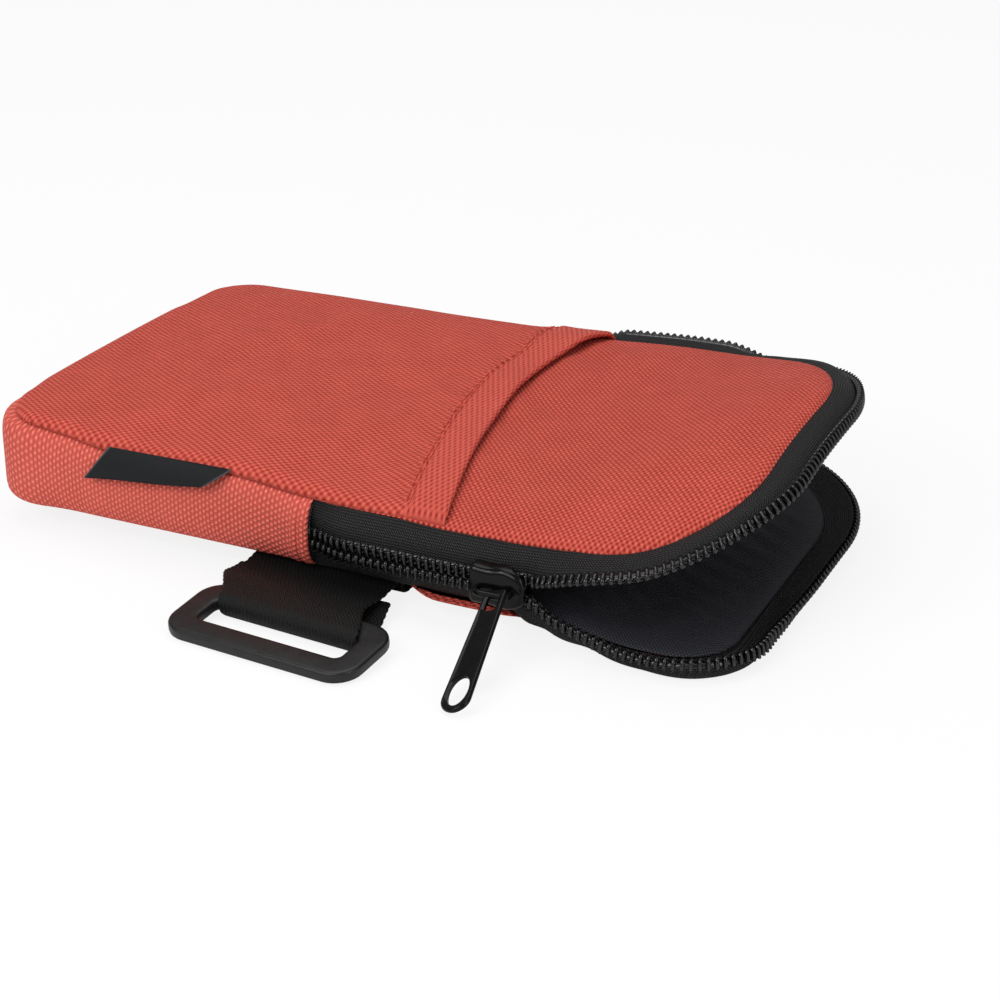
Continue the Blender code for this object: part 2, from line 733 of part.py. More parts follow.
def build_slider():
    face = -(HALF_WIDTH + CHAIN_OUT)
    chain_z = BACK_Z + NEAR_CHAIN_HEIGHT
    coil_top = GAP + COIL_THICKNESS + GAP
    tape_under = TAPE + GAP
    tail, nose = SLIDER_X - SLIDER_LENGTH / 2, SLIDER_X + SLIDER_LENGTH / 2
    tail_half = slider_half_width(tail) + COIL_SET_BACK * 2 + SLIDER_FLANGE
    nose_half = slider_half_width(nose) + COIL_SET_BACK * 2 + SLIDER_FLANGE
    place = pivot("slider_slide", Vector((SLIDER_X, face, chain_z)))

    outline = arc((nose - SLIDER_NOSE_ROUND, -nose_half + SLIDER_NOSE_ROUND), SLIDER_NOSE_ROUND, -90, 0, 6)
    outline += arc((nose - SLIDER_NOSE_ROUND, nose_half - SLIDER_NOSE_ROUND), SLIDER_NOSE_ROUND, 0, 90, 6)
    outline += arc((tail + SLIDER_TAIL_ROUND, tail_half - SLIDER_TAIL_ROUND), SLIDER_TAIL_ROUND, 90, 180, 3)
    outline += arc((tail + SLIDER_TAIL_ROUND, -tail_half + SLIDER_TAIL_ROUND), SLIDER_TAIL_ROUND, 180, 270, 3)
    depth = coil_top + tape_under + 2 * SLIDER_PLATE
    body = flat_plate("slider_body", [outline], depth, "black_metal")
    middle = (coil_top - tape_under) / 2
    upright = Matrix.Rotation(math.radians(90), 4, "X")
    body.data.transform(Matrix.Translation((0, face - middle, chain_z)) @ upright)

    steps = 8
    for side in (1, -1):
        def channel(i, j, k):
            x = mix(tail - 1 * MM, nose + 1 * MM, i / steps)
            centre = TAPE_EDGE + chain_spread(x) + COIL_SET_BACK
            across = centre + (2 * j - 1) * (COIL_WIDTH / 2 + GAP)
            out = (-tape_under, coil_top)[k]
            return Vector((x, face - out, chain_z + side * across))

        def slot(i, j, k):
            x = mix(tail - 1 * MM, nose + 1 * MM, i / steps)
            across = (TAPE_EDGE - GAP, TAPE_EDGE + 1.1 * MM, TAPE_EDGE + 2.1 * MM, 3 * nose_half)[j]
            deep = (tape_under, tape_under, 2.6 * MM, 2.6 * MM)[j]
            out = (-deep, GAP)[k]
            return Vector((x, face - out, chain_z + side * across))
        end = "_up" if side > 0 else "_down"
        cut(body, mapped_slab("channel" + end, steps, 1, channel, "red", CUTTERS))
        cut(body, mapped_slab("slot" + end, steps, 3, slot, "red", CUTTERS))
    hang(body, place)

    plate_out = coil_top + SLIDER_PLATE
    bridge = build_bridge(face - plate_out - GAP, chain_z)
    hang(bridge, place)
    axis_y = face - plate_out - BRIDGE_CLEAR - BRIDGE_WIRE / 2
    build_pull(Vector((SLIDER_X, axis_y, chain_z)), place)


def build_bridge(foot_y, chain_z):
    """A wire arch along the slider, its feet on the top plate."""
    curve = bpy.data.curves.new("slider_bridge", "CURVE")
    curve.dimensions = "3D"
    curve.bevel_depth = BRIDGE_WIRE / 2
    curve.bevel_resolution = 2
    curve.use_fill_caps = True
    crest = BRIDGE_CLEAR - GAP + BRIDGE_WIRE / 2
    radius = 1.4 * MM
    half = BRIDGE_LENGTH / 2 - BRIDGE_WIRE / 2
    right = [(half, 0.0)]
    right += arc((half - radius, crest - radius), radius, 0, 90, 4)
    left = [(-x, out) for x, out in reversed(right)]
    spline = curve.splines.new("POLY")
    points = right + left
    spline.points.add(len(points) - 1)
    for point, (x, out) in zip(spline.points, points):
        point.co = (SLIDER_X + x, foot_y - out, chain_z, 1)
    return curve_to_mesh("slider_bridge", curve, "black_metal")


def pull_outline():
    """Outline of the pull and its two holes, with x across it and y from the axis to its tip."""
    tip = PULL_TIP_WIDTH / 2
    eye = PULL_EYE_WIDTH / 2
    bar_end = -(BRIDGE_WIRE / 2 + GAP + PULL_END_BAR)
    outline = arc((0, PULL_REACH - tip), tip, 0, 180, 12)
    outline += arc((-eye + 1 * MM, bar_end + 1 * MM), 1 * MM, 180, 270, 3)
    outline += arc((eye - 1 * MM, bar_end + 1 * MM), 1 * MM, 270, 360, 3)
    low = bar_end + PULL_END_BAR
    eye_hole = rounded_rectangle((-PULL_EYE_HOLE[0] / 2, low),
                                 (PULL_EYE_HOLE[0] / 2, low + PULL_EYE_HOLE[1]), 0.8 * MM, 3)
    hole = []
    centre = PULL_REACH - PULL_HOLE_RIM - PULL_HOLE[1] / 2
    for x, y in arc((0, 0), 1.0, 0, 345, 23):
        hole.append((x * PULL_HOLE[0] / 2, centre + y * PULL_HOLE[1] / 2))
    return [outline, eye_hole, hole]


def build_pull(axis, slider):
    """The pull, linked on the bridge, lying twisted with its tip on the table."""
    pull = flat_plate("pull_tab", pull_outline(), PULL_THICKNESS, "black_metal")
    lie = Matrix.Rotation(math.radians(-90), 4, "Z") @ Matrix.Rotation(math.radians(90), 4, "Z")
    hang_way = Matrix.Rotation(math.pi, 4, "Z")
    swing = Matrix.Rotation(math.radians(PULL_SWING), 4, "Z")
    twist = Matrix.Rotation(math.radians(PULL_TWIST), 4, "Y")
    pull.data.transform(twist @ swing @ hang_way @ lie)
    ground = -axis.z + GAP

    def lowest(pitch):
        turn = Matrix.Rotation(pitch, 4, "X")
        return min((turn @ vert.co).z for vert in pull.data.vertices)
    low, high = 0.0, math.radians(60)
    for _ in range(40):
        middle = (low + high) / 2
        if lowest(middle) > ground:
            low = middle
        else:
            high = middle
    pull.data.transform(Matrix.Translation(axis) @ Matrix.Rotation(low, 4, "X"))
    bevel(pull, 0.2 * MM, 1)
    hang(pull, pivot("pull_hinge", axis, slider))


# Strap: webbing, its patches, and the ring

def ribbon(name, path, width, thickness, color, across=4, bend=None, round_start=False):
    """A strip of webbing along a path of (y, z) points; bend(offset, y) gives its place in plan."""
    points = [Vector(point) for point in path]
    count = len(points)
    run = [0.0]
    for first, second in zip(points, points[1:]):
        run.append(run[-1] + (second - first).length)

    def place(i, j, k):
        before = points[max(i - 1, 0)]
        after = points[min(i + 1, count - 1)]
        way = (after - before).normalized()
        normal = Vector((-way.y, way.x))
        half = thickness / 2
        if round_start and run[i] < half:
            half *= math.sqrt(max(1 - (1 - run[i] / half) ** 2, 0.1))
        spot = points[i] + normal * half * (2 * k - 1)
        offset = (j / across - 0.5) * width
        x, y = bend(offset, spot.x) if bend else (STRAP_X + offset, spot.x)
        return Vector((x, y, spot.y))
    return mapped_slab(name, count - 1, across, place, color)


def straight_run(start, end, z, cells=6):
    return [(mix(start, end, i / cells), z) for i in range(cells + 1)]


def build_strap():
    """Webbing sewn across the back, and its hook-and-loop tail folded twice under it."""
    run_out = [(-44 * MM, ANCHOR_Z), (-47 * MM, ANCHOR_Z), (-50 * MM, mix(ANCHOR_Z, RING_FOLD_Z, 0.22)),
               (-53 * MM, mix(ANCHOR_Z, RING_FOLD_Z, 0.72)),
               (RING_FOLD_Y + WEBBING / 2 + GAP, RING_FOLD_Z)]
    ribbon("anchor_webbing", straight_run(STRAP_FAR_FOLD_Y - GAP, -41 * MM, ANCHOR_Z) + run_out,
           WEBBING_WIDTH, WEBBING, "black_webbing")

    far_pivot = pivot("tail_fold_far", Vector((STRAP_X, STRAP_FAR_FOLD_Y, (ANCHOR_Z + TAIL_INNER_Z) / 2)))
    near_z = (TAIL_INNER_Z + TAIL_OUTER_Z) / 2
    near_pivot = pivot("tail_fold_near", Vector((STRAP_X, STRAP_NEAR_FOLD_Y, near_z)), far_pivot)
    inner = ribbon("tail_webbing_inner",
                   straight_run(STRAP_FAR_FOLD_Y - GAP, STRAP_NEAR_FOLD_Y + GAP, TAIL_INNER_Z),
                   WEBBING_WIDTH, WEBBING, "black_webbing")
    loop = ribbon("loop_patch", straight_run(LOOP_PATCH_Y[1], LOOP_PATCH_Y[0], LOOP_Z),
                  WEBBING_WIDTH - 2 * PATCH_INSET, LOOP_THICKNESS, "black_pile")
    outer = ribbon("tail_webbing_outer",
                   straight_run(STRAP_NEAR_FOLD_Y + GAP, STRAP_TIP_Y, TAIL_OUTER_Z),
                   WEBBING_WIDTH, WEBBING, "black_webbing")
    hook = ribbon("hook_patch", straight_run(HOOK_PATCH_Y[0], HOOK_PATCH_Y[1], HOOK_Z),
                  WEBBING_WIDTH - 2 * PATCH_INSET, HOOK_THICKNESS, "black_pile")
    for obj in (inner, loop):
        hang(obj, far_pivot)
    for obj in (outer, hook):
        hang(obj, near_pivot)


def strap_bend(offset, y):
    """Plan place of the ring strap: it turns and shifts from the pouch's edge to the ring."""
    gone = smooth(RING_FOLD_Y - y, 0, RING_FOLD_Y - RING_BAR_Y - RING_REAR_BAR / 2)
    angle = math.radians(RING_YAW) * gone
    along = y - RING_BAR_Y
    x = STRAP_X + STRAP_SHIFT * gone + offset * math.cos(angle) - along * math.sin(angle)
    return x, RING_BAR_Y + along * math.cos(angle) + offset * math.sin(angle)


def ring_lie():
    """Pitch and height of the ring: its rear bar rests on the webbing, its front edge on the table."""
    half = RING_THICKNESS / 2
    reach = RING_REAR_BAR / 2 + RING_SLOT[1] + RING_FRONT_BAR
    pitch = math.asin((WEBBING + GAP) / (reach - RING_REAR_BAR / 2))
    under = GROUND_CLEAR + WEBBING + GAP
    return pitch, under + half * math.cos(pitch) + RING_REAR_BAR / 2 * math.sin(pitch)


def build_ring():
    """The loose strap loop that wraps the ring's rear bar, and the flat ring itself."""
    pitch, bar_z = ring_lie()
    strap_pivot = pivot("ring_strap_fold", Vector((STRAP_X, RING_FOLD_Y, RING_FOLD_Z)))
    radius = RING_THICKNESS / 2 + GAP + WEBBING / 2
    reach = RING_REAR_BAR / 2 - 1.1 * MM

    def on_bar(along, up):
        return (RING_BAR_Y + along * math.cos(pitch) - up * math.sin(pitch),
                bar_z + up * math.cos(pitch) + along * math.sin(pitch))
    over = on_bar(reach, radius)
    path = [(RING_FOLD_Y, RING_FOLD_Z), (RING_FOLD_Y - 0.2 * MM, RING_FOLD_Z),
            (RING_FOLD_Y - 0.6 * MM, RING_FOLD_Z)]
    for step in range(1, 5):
        t = step / 4
        path.append((mix(RING_FOLD_Y, over[0], t), mix(RING_FOLD_Z, over[1], smooth(t))))
    for along, up in arc((-reach, 0), radius, 90, 270, 8):
        path.append(on_bar(along, up))
    floor_z = GROUND_CLEAR + WEBBING / 2
    end_z = mix(RING_FOLD_Z, over[1], 0.2) - WEBBING - 2 * GAP
    path.append((RING_BAR_Y + 1 * MM, floor_z))
    path.append((RING_BAR_Y + 3.5 * MM, floor_z + 0.1 * MM))
    for t in (0.4, 0.7, 1.0):
        path.append((mix(RING_BAR_Y + 3.5 * MM, RING_STRAP_END_Y, t), mix(floor_z, end_z, smooth(t))))
    strap = ribbon("ring_strap", path, WEBBING_WIDTH, WEBBING, "black_webbing",
                   bend=strap_bend, round_start=True)
    hang(strap, strap_pivot)

    half = RING_WIDTH / 2
    rear = RING_REAR_BAR / 2
    slot_front = -rear - RING_SLOT[1]
    outline = rounded_rectangle((-half, slot_front - RING_FRONT_BAR), (half, rear), RING_CORNER, 7)
    slot = rounded_rectangle((-RING_SLOT[0] / 2, slot_front), (RING_SLOT[0] / 2, -rear), RING_SLOT_CORNER, 3)
    ring = flat_plate("rect_ring", [outline, slot], RING_THICKNESS, "black_plastic")
    bevel(ring, RING_EDGE_ROUND, 2)
    axis = Vector((STRAP_X + STRAP_SHIFT, RING_BAR_Y, bar_z))
    lie = Matrix.Rotation(math.radians(RING_YAW), 4, "Z") @ Matrix.Rotation(pitch, 4, "X")
    ring.data.transform(Matrix.Translation(axis) @ lie)
    hang(ring, pivot("ring_swivel", axis, strap_pivot))


def hang_flap():
    flap = pivot("flap_hinge", Vector((HINGE_X, 0, hinge_height(0))))
    for name in ("flap_panel", "flap_foam", "flap_lining", "zip_tape_flap", "zip_coil_flap"):
        hang(bpy.data.objects[name], flap)


build_back()
build_front()
build_pocket()
build_gusset()
build_zip()
build_label()
build_slider()
build_strap()
build_ring()
hang_flap()
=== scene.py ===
"""Bottle pouch of coarse red cloth, with a black coil zip round its opening end and a webbing strap.

The pouch lies on its back. Shapes are worked out in millimetres, X along the pouch from the closed
end to the zip end, Y from the near side to the far side and Z up, and turned to metres in each mesh.
"""
import math

import bmesh
import bpy
import numpy as np
from mathutils import Matrix, Vector


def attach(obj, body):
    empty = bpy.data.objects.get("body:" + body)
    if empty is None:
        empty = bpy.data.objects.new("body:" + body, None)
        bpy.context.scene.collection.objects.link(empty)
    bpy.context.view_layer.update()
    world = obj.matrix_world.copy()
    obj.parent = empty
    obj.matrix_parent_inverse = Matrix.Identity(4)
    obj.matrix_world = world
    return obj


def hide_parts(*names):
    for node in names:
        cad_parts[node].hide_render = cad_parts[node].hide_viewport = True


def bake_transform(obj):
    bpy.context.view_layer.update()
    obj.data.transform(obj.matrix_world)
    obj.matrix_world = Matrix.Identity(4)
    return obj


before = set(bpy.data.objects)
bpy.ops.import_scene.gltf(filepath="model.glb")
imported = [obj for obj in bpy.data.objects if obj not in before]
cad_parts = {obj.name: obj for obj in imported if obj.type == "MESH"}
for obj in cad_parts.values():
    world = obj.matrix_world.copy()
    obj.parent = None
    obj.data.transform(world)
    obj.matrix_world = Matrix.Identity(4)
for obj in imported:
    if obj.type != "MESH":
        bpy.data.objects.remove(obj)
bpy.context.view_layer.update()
MM = 0.001

# Outline and heights of the pouch
CLOSED_END = -95.0
ZIP_END = 94.0
HALF = 54.5
CLOSED_CORNER = 13.0
CLOSED_CORNERS = (CLOSED_CORNER, CLOSED_CORNER)
FRONT_CORNERS = (30.0, 46.0)
BACK_CORNERS = (14.0, 46.0)
BACK_Z = 6.7
CLOTH = 0.8
LINING_THICK = 0.45
PADDING = 1.8
LAYER = 1.1
SHOULDER = 3.0
LINING_SHOULDER = 5.0
SEAM_TUCK = 1.4
SEAM_DROP = 1.1

# Near and far seams of the front, raised over straight edges by these amounts
SEAM_X = (-95, -81, -73, -67, -61, -50, -40, -27, -22, -12, -1, 4, 9, 17, 28, 37, 47, 60)
SEAM_RISE = (1.2, 1.4, 1.1, 0.4, -0.1, 0.9, 2.6, 3.5, 3.5, 3.1, 3.2, 3.3, 3.3, 3.0, 1.4, 0.6, 0.1, 0.2)
FAR_X = (-95, -78, -26, -9, 0, 8, 26, 34, 43, 52, 60, 70, 78, 86)
FAR_RISE = (0.6, 0.5, 0.5, 0.9, 1.2, 1.6, 1.5, 1.4, 1.3, 0.9, 0.7, 0.9, 1.3, 1.6)

# Hollows of the front: place, radius and depth
DENTS = ((66, 27, 13, 0.9), (-62, 40, 12, 0.5), (-20, 12, 26, 0.5))

# Zip
ZIP_START = -6.0
CHAIN_OUT = 3.7
CHAIN_SUNK = 0.5
CHAIN_EDGE = 0.95
CHAIN_RISE = 7.2
COIL_PITCH = 1.9
COIL_SET_BACK = 0.8
COIL_HEIGHT = 0.85
SLIDER_X = 43.9
SLIDER_LENGTH = 12.6
NOSE = SLIDER_X + SLIDER_LENGTH / 2
TAIL = SLIDER_X - SLIDER_LENGTH / 2
SLIDER_TIP = NOSE + 1.0


# Small sums over arrays

def smooth(value, low=0.0, high=1.0):
    """Eased step: 0 up to low, 1 from high on."""
    t = np.clip((value - low) / (high - low), 0, 1)
    return t * t * (3 - 2 * t)


def mix(a, b, t):
    return a + (b - a) * t


def hump(value, middle, width):
    """Bell curve of height 1."""
    return np.exp(-((value - middle) / width) ** 2)


def signed_power(value, power):
    """A power that keeps the sign; under 1 it makes a circle's outline squarer."""
    return np.sign(value) * np.abs(value) ** power


def unit(vectors):
    return vectors / np.maximum(np.linalg.norm(vectors, axis=-1, keepdims=True), 1e-9)


def stack(*parts):
    """Points from their coordinates, each spread over the others."""
    return np.stack(np.broadcast_arrays(*parts), -1)


def join(*parts, axis=0):
    return np.concatenate(parts, axis)


def turns(start, end, count, endpoint=True):
    """Angles in even steps, given in degrees."""
    return np.radians(np.linspace(start, end, count, endpoint=endpoint))


def run_along(path):
    """Length of a path up to each of its points."""
    return join([0], np.cumsum(np.linalg.norm(np.diff(path, axis=0), axis=-1)))


def across(y):
    return (y / HALF + 1) / 2


# Height functions, each over arrays of x and y

def near_height(x):
    """Two straight falls to a valley, rounded as a hyperbola."""
    away = x - 6
    rounded = np.hypot(away, 3) - 3
    return 15.6 + rounded * np.where(away < 0, 7.9 / 101, 4.6 / 88)


def far_height(x):
    return 22.7 + 0.5 * smooth(x, CLOSED_END, -30) + 3.3 * smooth(x, 20, ZIP_END)


def outer_top(x, y):
    """An edge line, plus a crown of 1 - |y|^3 and the flap's arch of 1 - |y|^2.2."""
    edge = mix(near_height(x), far_height(x), across(y))
    crown = 4.0 * smooth(x, CLOSED_END, CLOSED_END + 40) * (1 - np.abs(y / HALF) ** 3)
    arch = 7.6 * smooth(x, 38, ZIP_END) * (1 - np.abs(y / HALF) ** 2.2)
    return BACK_Z + edge + crown + arch


def front_top(x, y):
    return outer_top(x, y) - LAYER * (1 - smooth(x, 12, 40))


def near_share(y):
    return (1 - np.clip(across(y), 0, 1)) ** 4


def far_rise(x, y):
    """The far seam's rise, and a bow of the closed end that is a parabola over y."""
    bow = 1.3 * smooth(x, -60, CLOSED_END) * np.clip(1 - (y / 50) ** 2, 0, 1)
    return np.interp(x, FAR_X, FAR_RISE) * np.clip(across(y), 0, 1) ** 4 + bow


def seam_top(x, y):
    return front_top(x, y) - LAYER + np.interp(x, SEAM_X, SEAM_RISE) * near_share(y) + far_rise(x, y)


def skin_rise(x, y):
    """What the seams' rise adds to the cloth beside them; the near one keeps 0.8 mm to itself."""
    raised = np.maximum(np.interp(x, SEAM_X, SEAM_RISE) - 0.8, 0)
    return raised * near_share(y) + far_rise(x, y)


def back_under(x, y):
    """Underside of the back: flat, lower on the near side past the zip's start and down to the lip."""
    near = smooth(25 - y, 0, 75)
    lip = 4.3 * smooth(x, 45, 75) * mix(0.85, 1, near)
    return BACK_Z - 2.0 * smooth(x, 13, 27) * near - lip


def seam_bottom(x, y):
    return back_under(x, y) + LAYER


def edge_low(x, y):
    """Outer edge of the back: turned down a little behind the zip's start and past the slider."""
    past_slider = smooth(x, 44, 51) * smooth(x, 68, 57) * smooth(y, 0, -40)
    drop = 1.4 * (1 - smooth(x, 14, 24) * (1 - past_slider)) + 0.8 * smooth(x, -72, -92)
    return seam_bottom(x, y) - 0.1 - drop


def inside(x, y, corners):
    """Distance in plan from the rounded outline to a point inside it."""
    corner = np.where(x < 0, CLOSED_CORNER, np.where(y < 0, corners[0], corners[1]))
    middle, half = (ZIP_END + CLOSED_END) / 2, (ZIP_END - CLOSED_END) / 2
    over_x = np.abs(x - middle) - (half - corner)
    over_y = np.abs(y) - (HALF - corner)
    outer = np.hypot(np.maximum(over_x, 0), np.maximum(over_y, 0))
    return corner - outer - np.minimum(np.maximum(over_x, over_y), 0)


def shoulder(distance, radius=SHOULDER):
    """Quarter circle: 0 at the seam, 1 from the radius inwards."""
    return np.sqrt(1 - (1 - np.clip(distance / radius, 0, 1)) ** 2)


def overhang(x, y, corners, amount):
    """Moves the outer 3 mm of a skin outwards over its seam, and the seam itself inwards."""
    distance = inside(x, y, corners)
    out_x = (inside(x - 0.05, y, corners) - inside(x + 0.05, y, corners)) / 0.1
    out_y = (inside(x, y - 0.05, corners) - inside(x, y + 0.05, corners)) / 0.1
    share = np.clip(1 - distance / SHOULDER, 0, 1)
    move = np.where(distance < 0.004, -SEAM_TUCK, amount * share)
    return x + out_x * move, y + out_y * move


def front_overhang(x, y):
    """Nothing along the sides, and 1.3 mm along the closed end up to a crease near its far corner."""
    return 1.3 * smooth(x, -84, -94) * smooth(y, -42, -30) * smooth(y, 31, 24)


def relief(x, y):
    """Soft hollows of padded cloth: a few long sine waves and some dents."""
    waves = 0.22 * np.sin(x / 9.7 + y / 15.5 + 1.3) + 0.18 * np.sin(x / 5.9 - y / 8.4 + 0.4)
    waves += 0.12 * np.sin(x / 4.1 + y / 3.9 + 2.2)
    dents = 0.0
    for at_x, at_y, radius, depth in DENTS:
        dents = dents - depth * np.exp(-((x - at_x) ** 2 + (y - at_y) ** 2) / radius ** 2)
    return waves + dents


def edge_reach(x, side, corners, inset=0.0):
    """Half width of the outline at x: straight, with a circle's arc at each corner."""
    reach = np.full(x.shape, HALF - inset)
    for corner, way, end in ((CLOSED_CORNER, -1, -CLOSED_END), (corners[side], 1, ZIP_END)):
        past = way * x - (end - corner)
        turned = HALF - corner + np.sqrt(np.maximum((corner - inset) ** 2 - past ** 2, 0))
        reach = np.where(past > 0, turned, reach)
    return reach


def outline(distance, start_x, way, corners):
    """Point and outward direction in plan, from the near side at start_x round one end."""
    near, far = corners
    turn = math.pi / 2
    reach = ZIP_END if way > 0 else -CLOSED_END
    side = reach - way * start_x - near
    end = 2 * HALF - near - far
    first = np.clip((distance - side) / near, 0, turn)
    on_end = np.clip(distance - side - turn * near, 0, end)
    past_end = distance - side - turn * near - end
    second = np.clip(past_end / far, 0, turn)
    back = np.maximum(past_end - turn * far, 0)
    x = way * start_x + np.minimum(distance, side) + near * np.sin(first)
    x = x - far * (1 - np.cos(second)) - back
    y = -HALF + near * (1 - np.cos(first)) + on_end + far * np.sin(second)
    angle = first + second
    return way * x, y, way * np.sin(angle), -np.cos(angle)


def outline_length(start_x, way, corners):
    near, far = corners
    reach = ZIP_END if way > 0 else -CLOSED_END
    sides = 2 * (reach - way * start_x) - near - far
    return sides + math.pi / 2 * (near + far) + 2 * HALF - near - far


# Mesh making

def grid_part(points, uv=None, wrap=(False, False)):
    """Vertices, faces and corner texture places of a grid; wrap closes its rows or columns."""
    rows, columns = points.shape[:2]
    index = np.arange(rows * columns).reshape(rows, columns)
    if wrap[0]:
        index = join(index, index[:1])
    if wrap[1]:
        index = join(index, index[:, :1], axis=1)
    if uv is None:
        uv = np.zeros(index.shape + (2,))
    corners = [np.stack([grid[:-1, :-1], grid[1:, :-1], grid[1:, 1:], grid[:-1, 1:]], 2)
               for grid in (index, uv)]
    return points.reshape(-1, 3), corners[0].reshape(-1, 4), corners[1].reshape(-1, 2)


def two_skins(outer, inner, uv):
    """The two faces of a sheet."""
    return [grid_part(outer, uv), grid_part(inner[::-1], uv[::-1])]


def add_object(name, data):
    obj = bpy.data.objects.new(name, data)
    bpy.context.scene.collection.objects.link(obj)
    return obj


def make_piece(name, parts, finish, slot, close=False, sharp=None):
    """One mesh from grid parts in millimetres, its doubles merged and its faces turned outwards."""
    counts = np.cumsum([0] + [len(part[0]) for part in parts])
    points = join(*[part[0] for part in parts]) * MM
    faces = join(*[part[1] + count for part, count in zip(parts, counts)])
    mesh = bpy.data.meshes.new(name)
    mesh.from_pydata(points.tolist(), [], faces.tolist())
    layer = mesh.uv_layers.new(name="cloth")
    layer.data.foreach_set("uv", join(*[part[2] for part in parts]).astype(np.float32).ravel())
    work = bmesh.new()
    work.from_mesh(mesh)
    bmesh.ops.remove_doubles(work, verts=work.verts, dist=0.000002)
    if close:
        bmesh.ops.holes_fill(work, edges=[edge for edge in work.edges if edge.is_boundary], sides=0)
    bmesh.ops.recalc_face_normals(work, faces=work.faces)
    work.to_mesh(mesh)
    work.free()
    mesh.polygons.foreach_set("use_smooth", np.ones(len(mesh.polygons), dtype=bool))
    if sharp:
        mesh.set_sharp_from_angle(angle=math.radians(sharp))
    obj = add_object(name, mesh)
    mesh.materials.append(finish)
    return obj


def loft(sections, uv=None):
    """A tube or bar through closed sections, an array of (stations, points, 3), with closed ends."""
    if uv is None:
        steps = np.linalg.norm(np.diff(sections, axis=1, append=sections[:, :1]), axis=-1)
        round_run = join(np.zeros((len(sections), 1)), np.cumsum(steps, 1), axis=1)
        uv = stack(run_along(sections.mean(1))[:, None], round_run)
    parts = [grid_part(sections, uv, (False, True))]
    for rim in (sections[0], sections[-1]):
        fan = np.stack([rim, np.broadcast_to(rim.mean(0), rim.shape)])
        parts.append(grid_part(fan, None, (False, True)))
    return parts


def tube_sections(path, radius, sides, lean):
    """Rings round a path; lean is a direction that keeps them from turning."""
    way = unit(np.gradient(path, axis=0))
    side = unit(np.cross(way, lean))
    up = np.cross(side, way)
    angle = turns(0, 360, sides, False)[None, :, None]
    radius = np.broadcast_to(np.asarray(radius, float), (len(path),))[:, None, None]
    return path[:, None] + radius * (np.cos(angle) * side[:, None] + np.sin(angle) * up[:, None])


def stitch_rise(count, per_stitch):
    """Thread along a seam, from 0 to 1: each stitch rises out of its hole, lies flat and dips again."""
    phase = (np.arange(count) % per_stitch) / per_stitch
    return np.minimum(np.sin(np.pi * phase) * 2.2, 1)


EDGE_STEPS = SHOULDER * (1 - np.cos(np.radians([0, 14, 28, 42, 56, 70, 80, 90])))


def stations(start, end, round_end=True):
    """Places 1.5 mm apart from start to end, closer together towards the start and a rounded end."""
    low = start + SHOULDER
    high = end - (SHOULDER if round_end else 0)
    last = end - EDGE_STEPS[-2::-1] if round_end else np.empty(0)
    return join(start + EDGE_STEPS[:-1], np.linspace(low, high, int((high - low) / 1.5) + 1), last)


def plan_grid(xs, corners, inset=0.0):
    """Columns of points across the outline at each x, closer together at its edges."""
    low = -edge_reach(xs, 0, corners, inset)[:, None]
    high = edge_reach(xs, 1, corners, inset)[:, None]
    middle = mix(low + SHOULDER, high - SHOULDER, np.linspace(0, 1, 70)[None])
    y = join(low + EDGE_STEPS[:-1], middle, high - EDGE_STEPS[-2::-1], axis=1)
    return np.broadcast_to(xs[:, None], y.shape), y


def layer_plan(corners, inset=0.0):
    """Grid over the whole pouch, drawn in by the inset, with each point's distance from the outline."""
    x, y = plan_grid(stations(CLOSED_END + inset, ZIP_END - inset), corners, inset)
    return x, y, inside(x, y, corners)


def sheet_parts(x, y, top, bottom):
    """Two skins over the same plan, meeting at the outline."""
    return two_skins(stack(x, y, top), stack(x, y, bottom), stack(x, y))


# Shader making

def feed(tree, socket, value):
    if isinstance(value, bpy.types.NodeSocket):
        tree.links.new(value, socket)
    elif value is not None:
        socket.default_value = value


def add_node(tree, kind, values, operation=None):
    """A node with its inputs fed in order, or by name."""
    node = tree.nodes.new("ShaderNode" + kind)
    if operation:
        node.operation = operation
    for key, value in values.items() if isinstance(values, dict) else enumerate(values):
        feed(tree, node.inputs[key], value)
    return node


def op(tree, kind, *values):
    return add_node(tree, "Math", values, kind).outputs[0]


def vector_op(tree, kind, *values):
    return add_node(tree, "VectorMath", values, kind).outputs[0]


def split_place(tree, place):
    return add_node(tree, "SeparateXYZ", (place,)).outputs


def remap(tree, value, low, high, to_low, to_high):
    inputs = {"Value": value, "From Min": low, "From Max": high, "To Min": to_low, "To Max": to_high}
    return add_node(tree, "MapRange", inputs).outputs[0]


def grey(level):
    return (level, level, level)


def tint(tree, share, low, high):
    node = tree.nodes.new("ShaderNodeMix")
    node.data_type = "RGBA"
    feed(tree, node.inputs["Factor"], share)
    for name, value in (("A", low), ("B", high)):
        feed(tree, node.inputs[name], value if isinstance(value, bpy.types.NodeSocket) else (*value, 1))
    return node.outputs["Result"]


def noise(tree, place, scale, detail=2.0, roughness=0.5, output="Fac"):
    inputs = {"Vector": place, "Scale": scale, "Detail": detail, "Roughness": roughness}
    return add_node(tree, "TexNoise", inputs).outputs[output]


def wave(tree, kind, at, scale=math.pi):
    """Sine or cosine of a place times a scale."""
    return op(tree, kind, op(tree, "MULTIPLY", at, scale))


def ribs(tree, kind, at, scale=math.pi):
    return op(tree, "ABSOLUTE", wave(tree, kind, at, scale))


def group(name, inputs, outputs):
    """A node group; each input is a float with its first value, or a place, with none."""
    made = bpy.data.node_groups.new(name, "ShaderNodeTree")
    for label, value in inputs.items():
        kind = "NodeSocketVector" if value is None else "NodeSocketFloat"
        socket = made.interface.new_socket(label, in_out="INPUT", socket_type=kind)
        if value is not None:
            socket.default_value = value
    for label in outputs:
        made.interface.new_socket(label, in_out="OUTPUT", socket_type="NodeSocketFloat")
    return made, made.nodes.new("NodeGroupInput").outputs, made.nodes.new("NodeGroupOutput").inputs


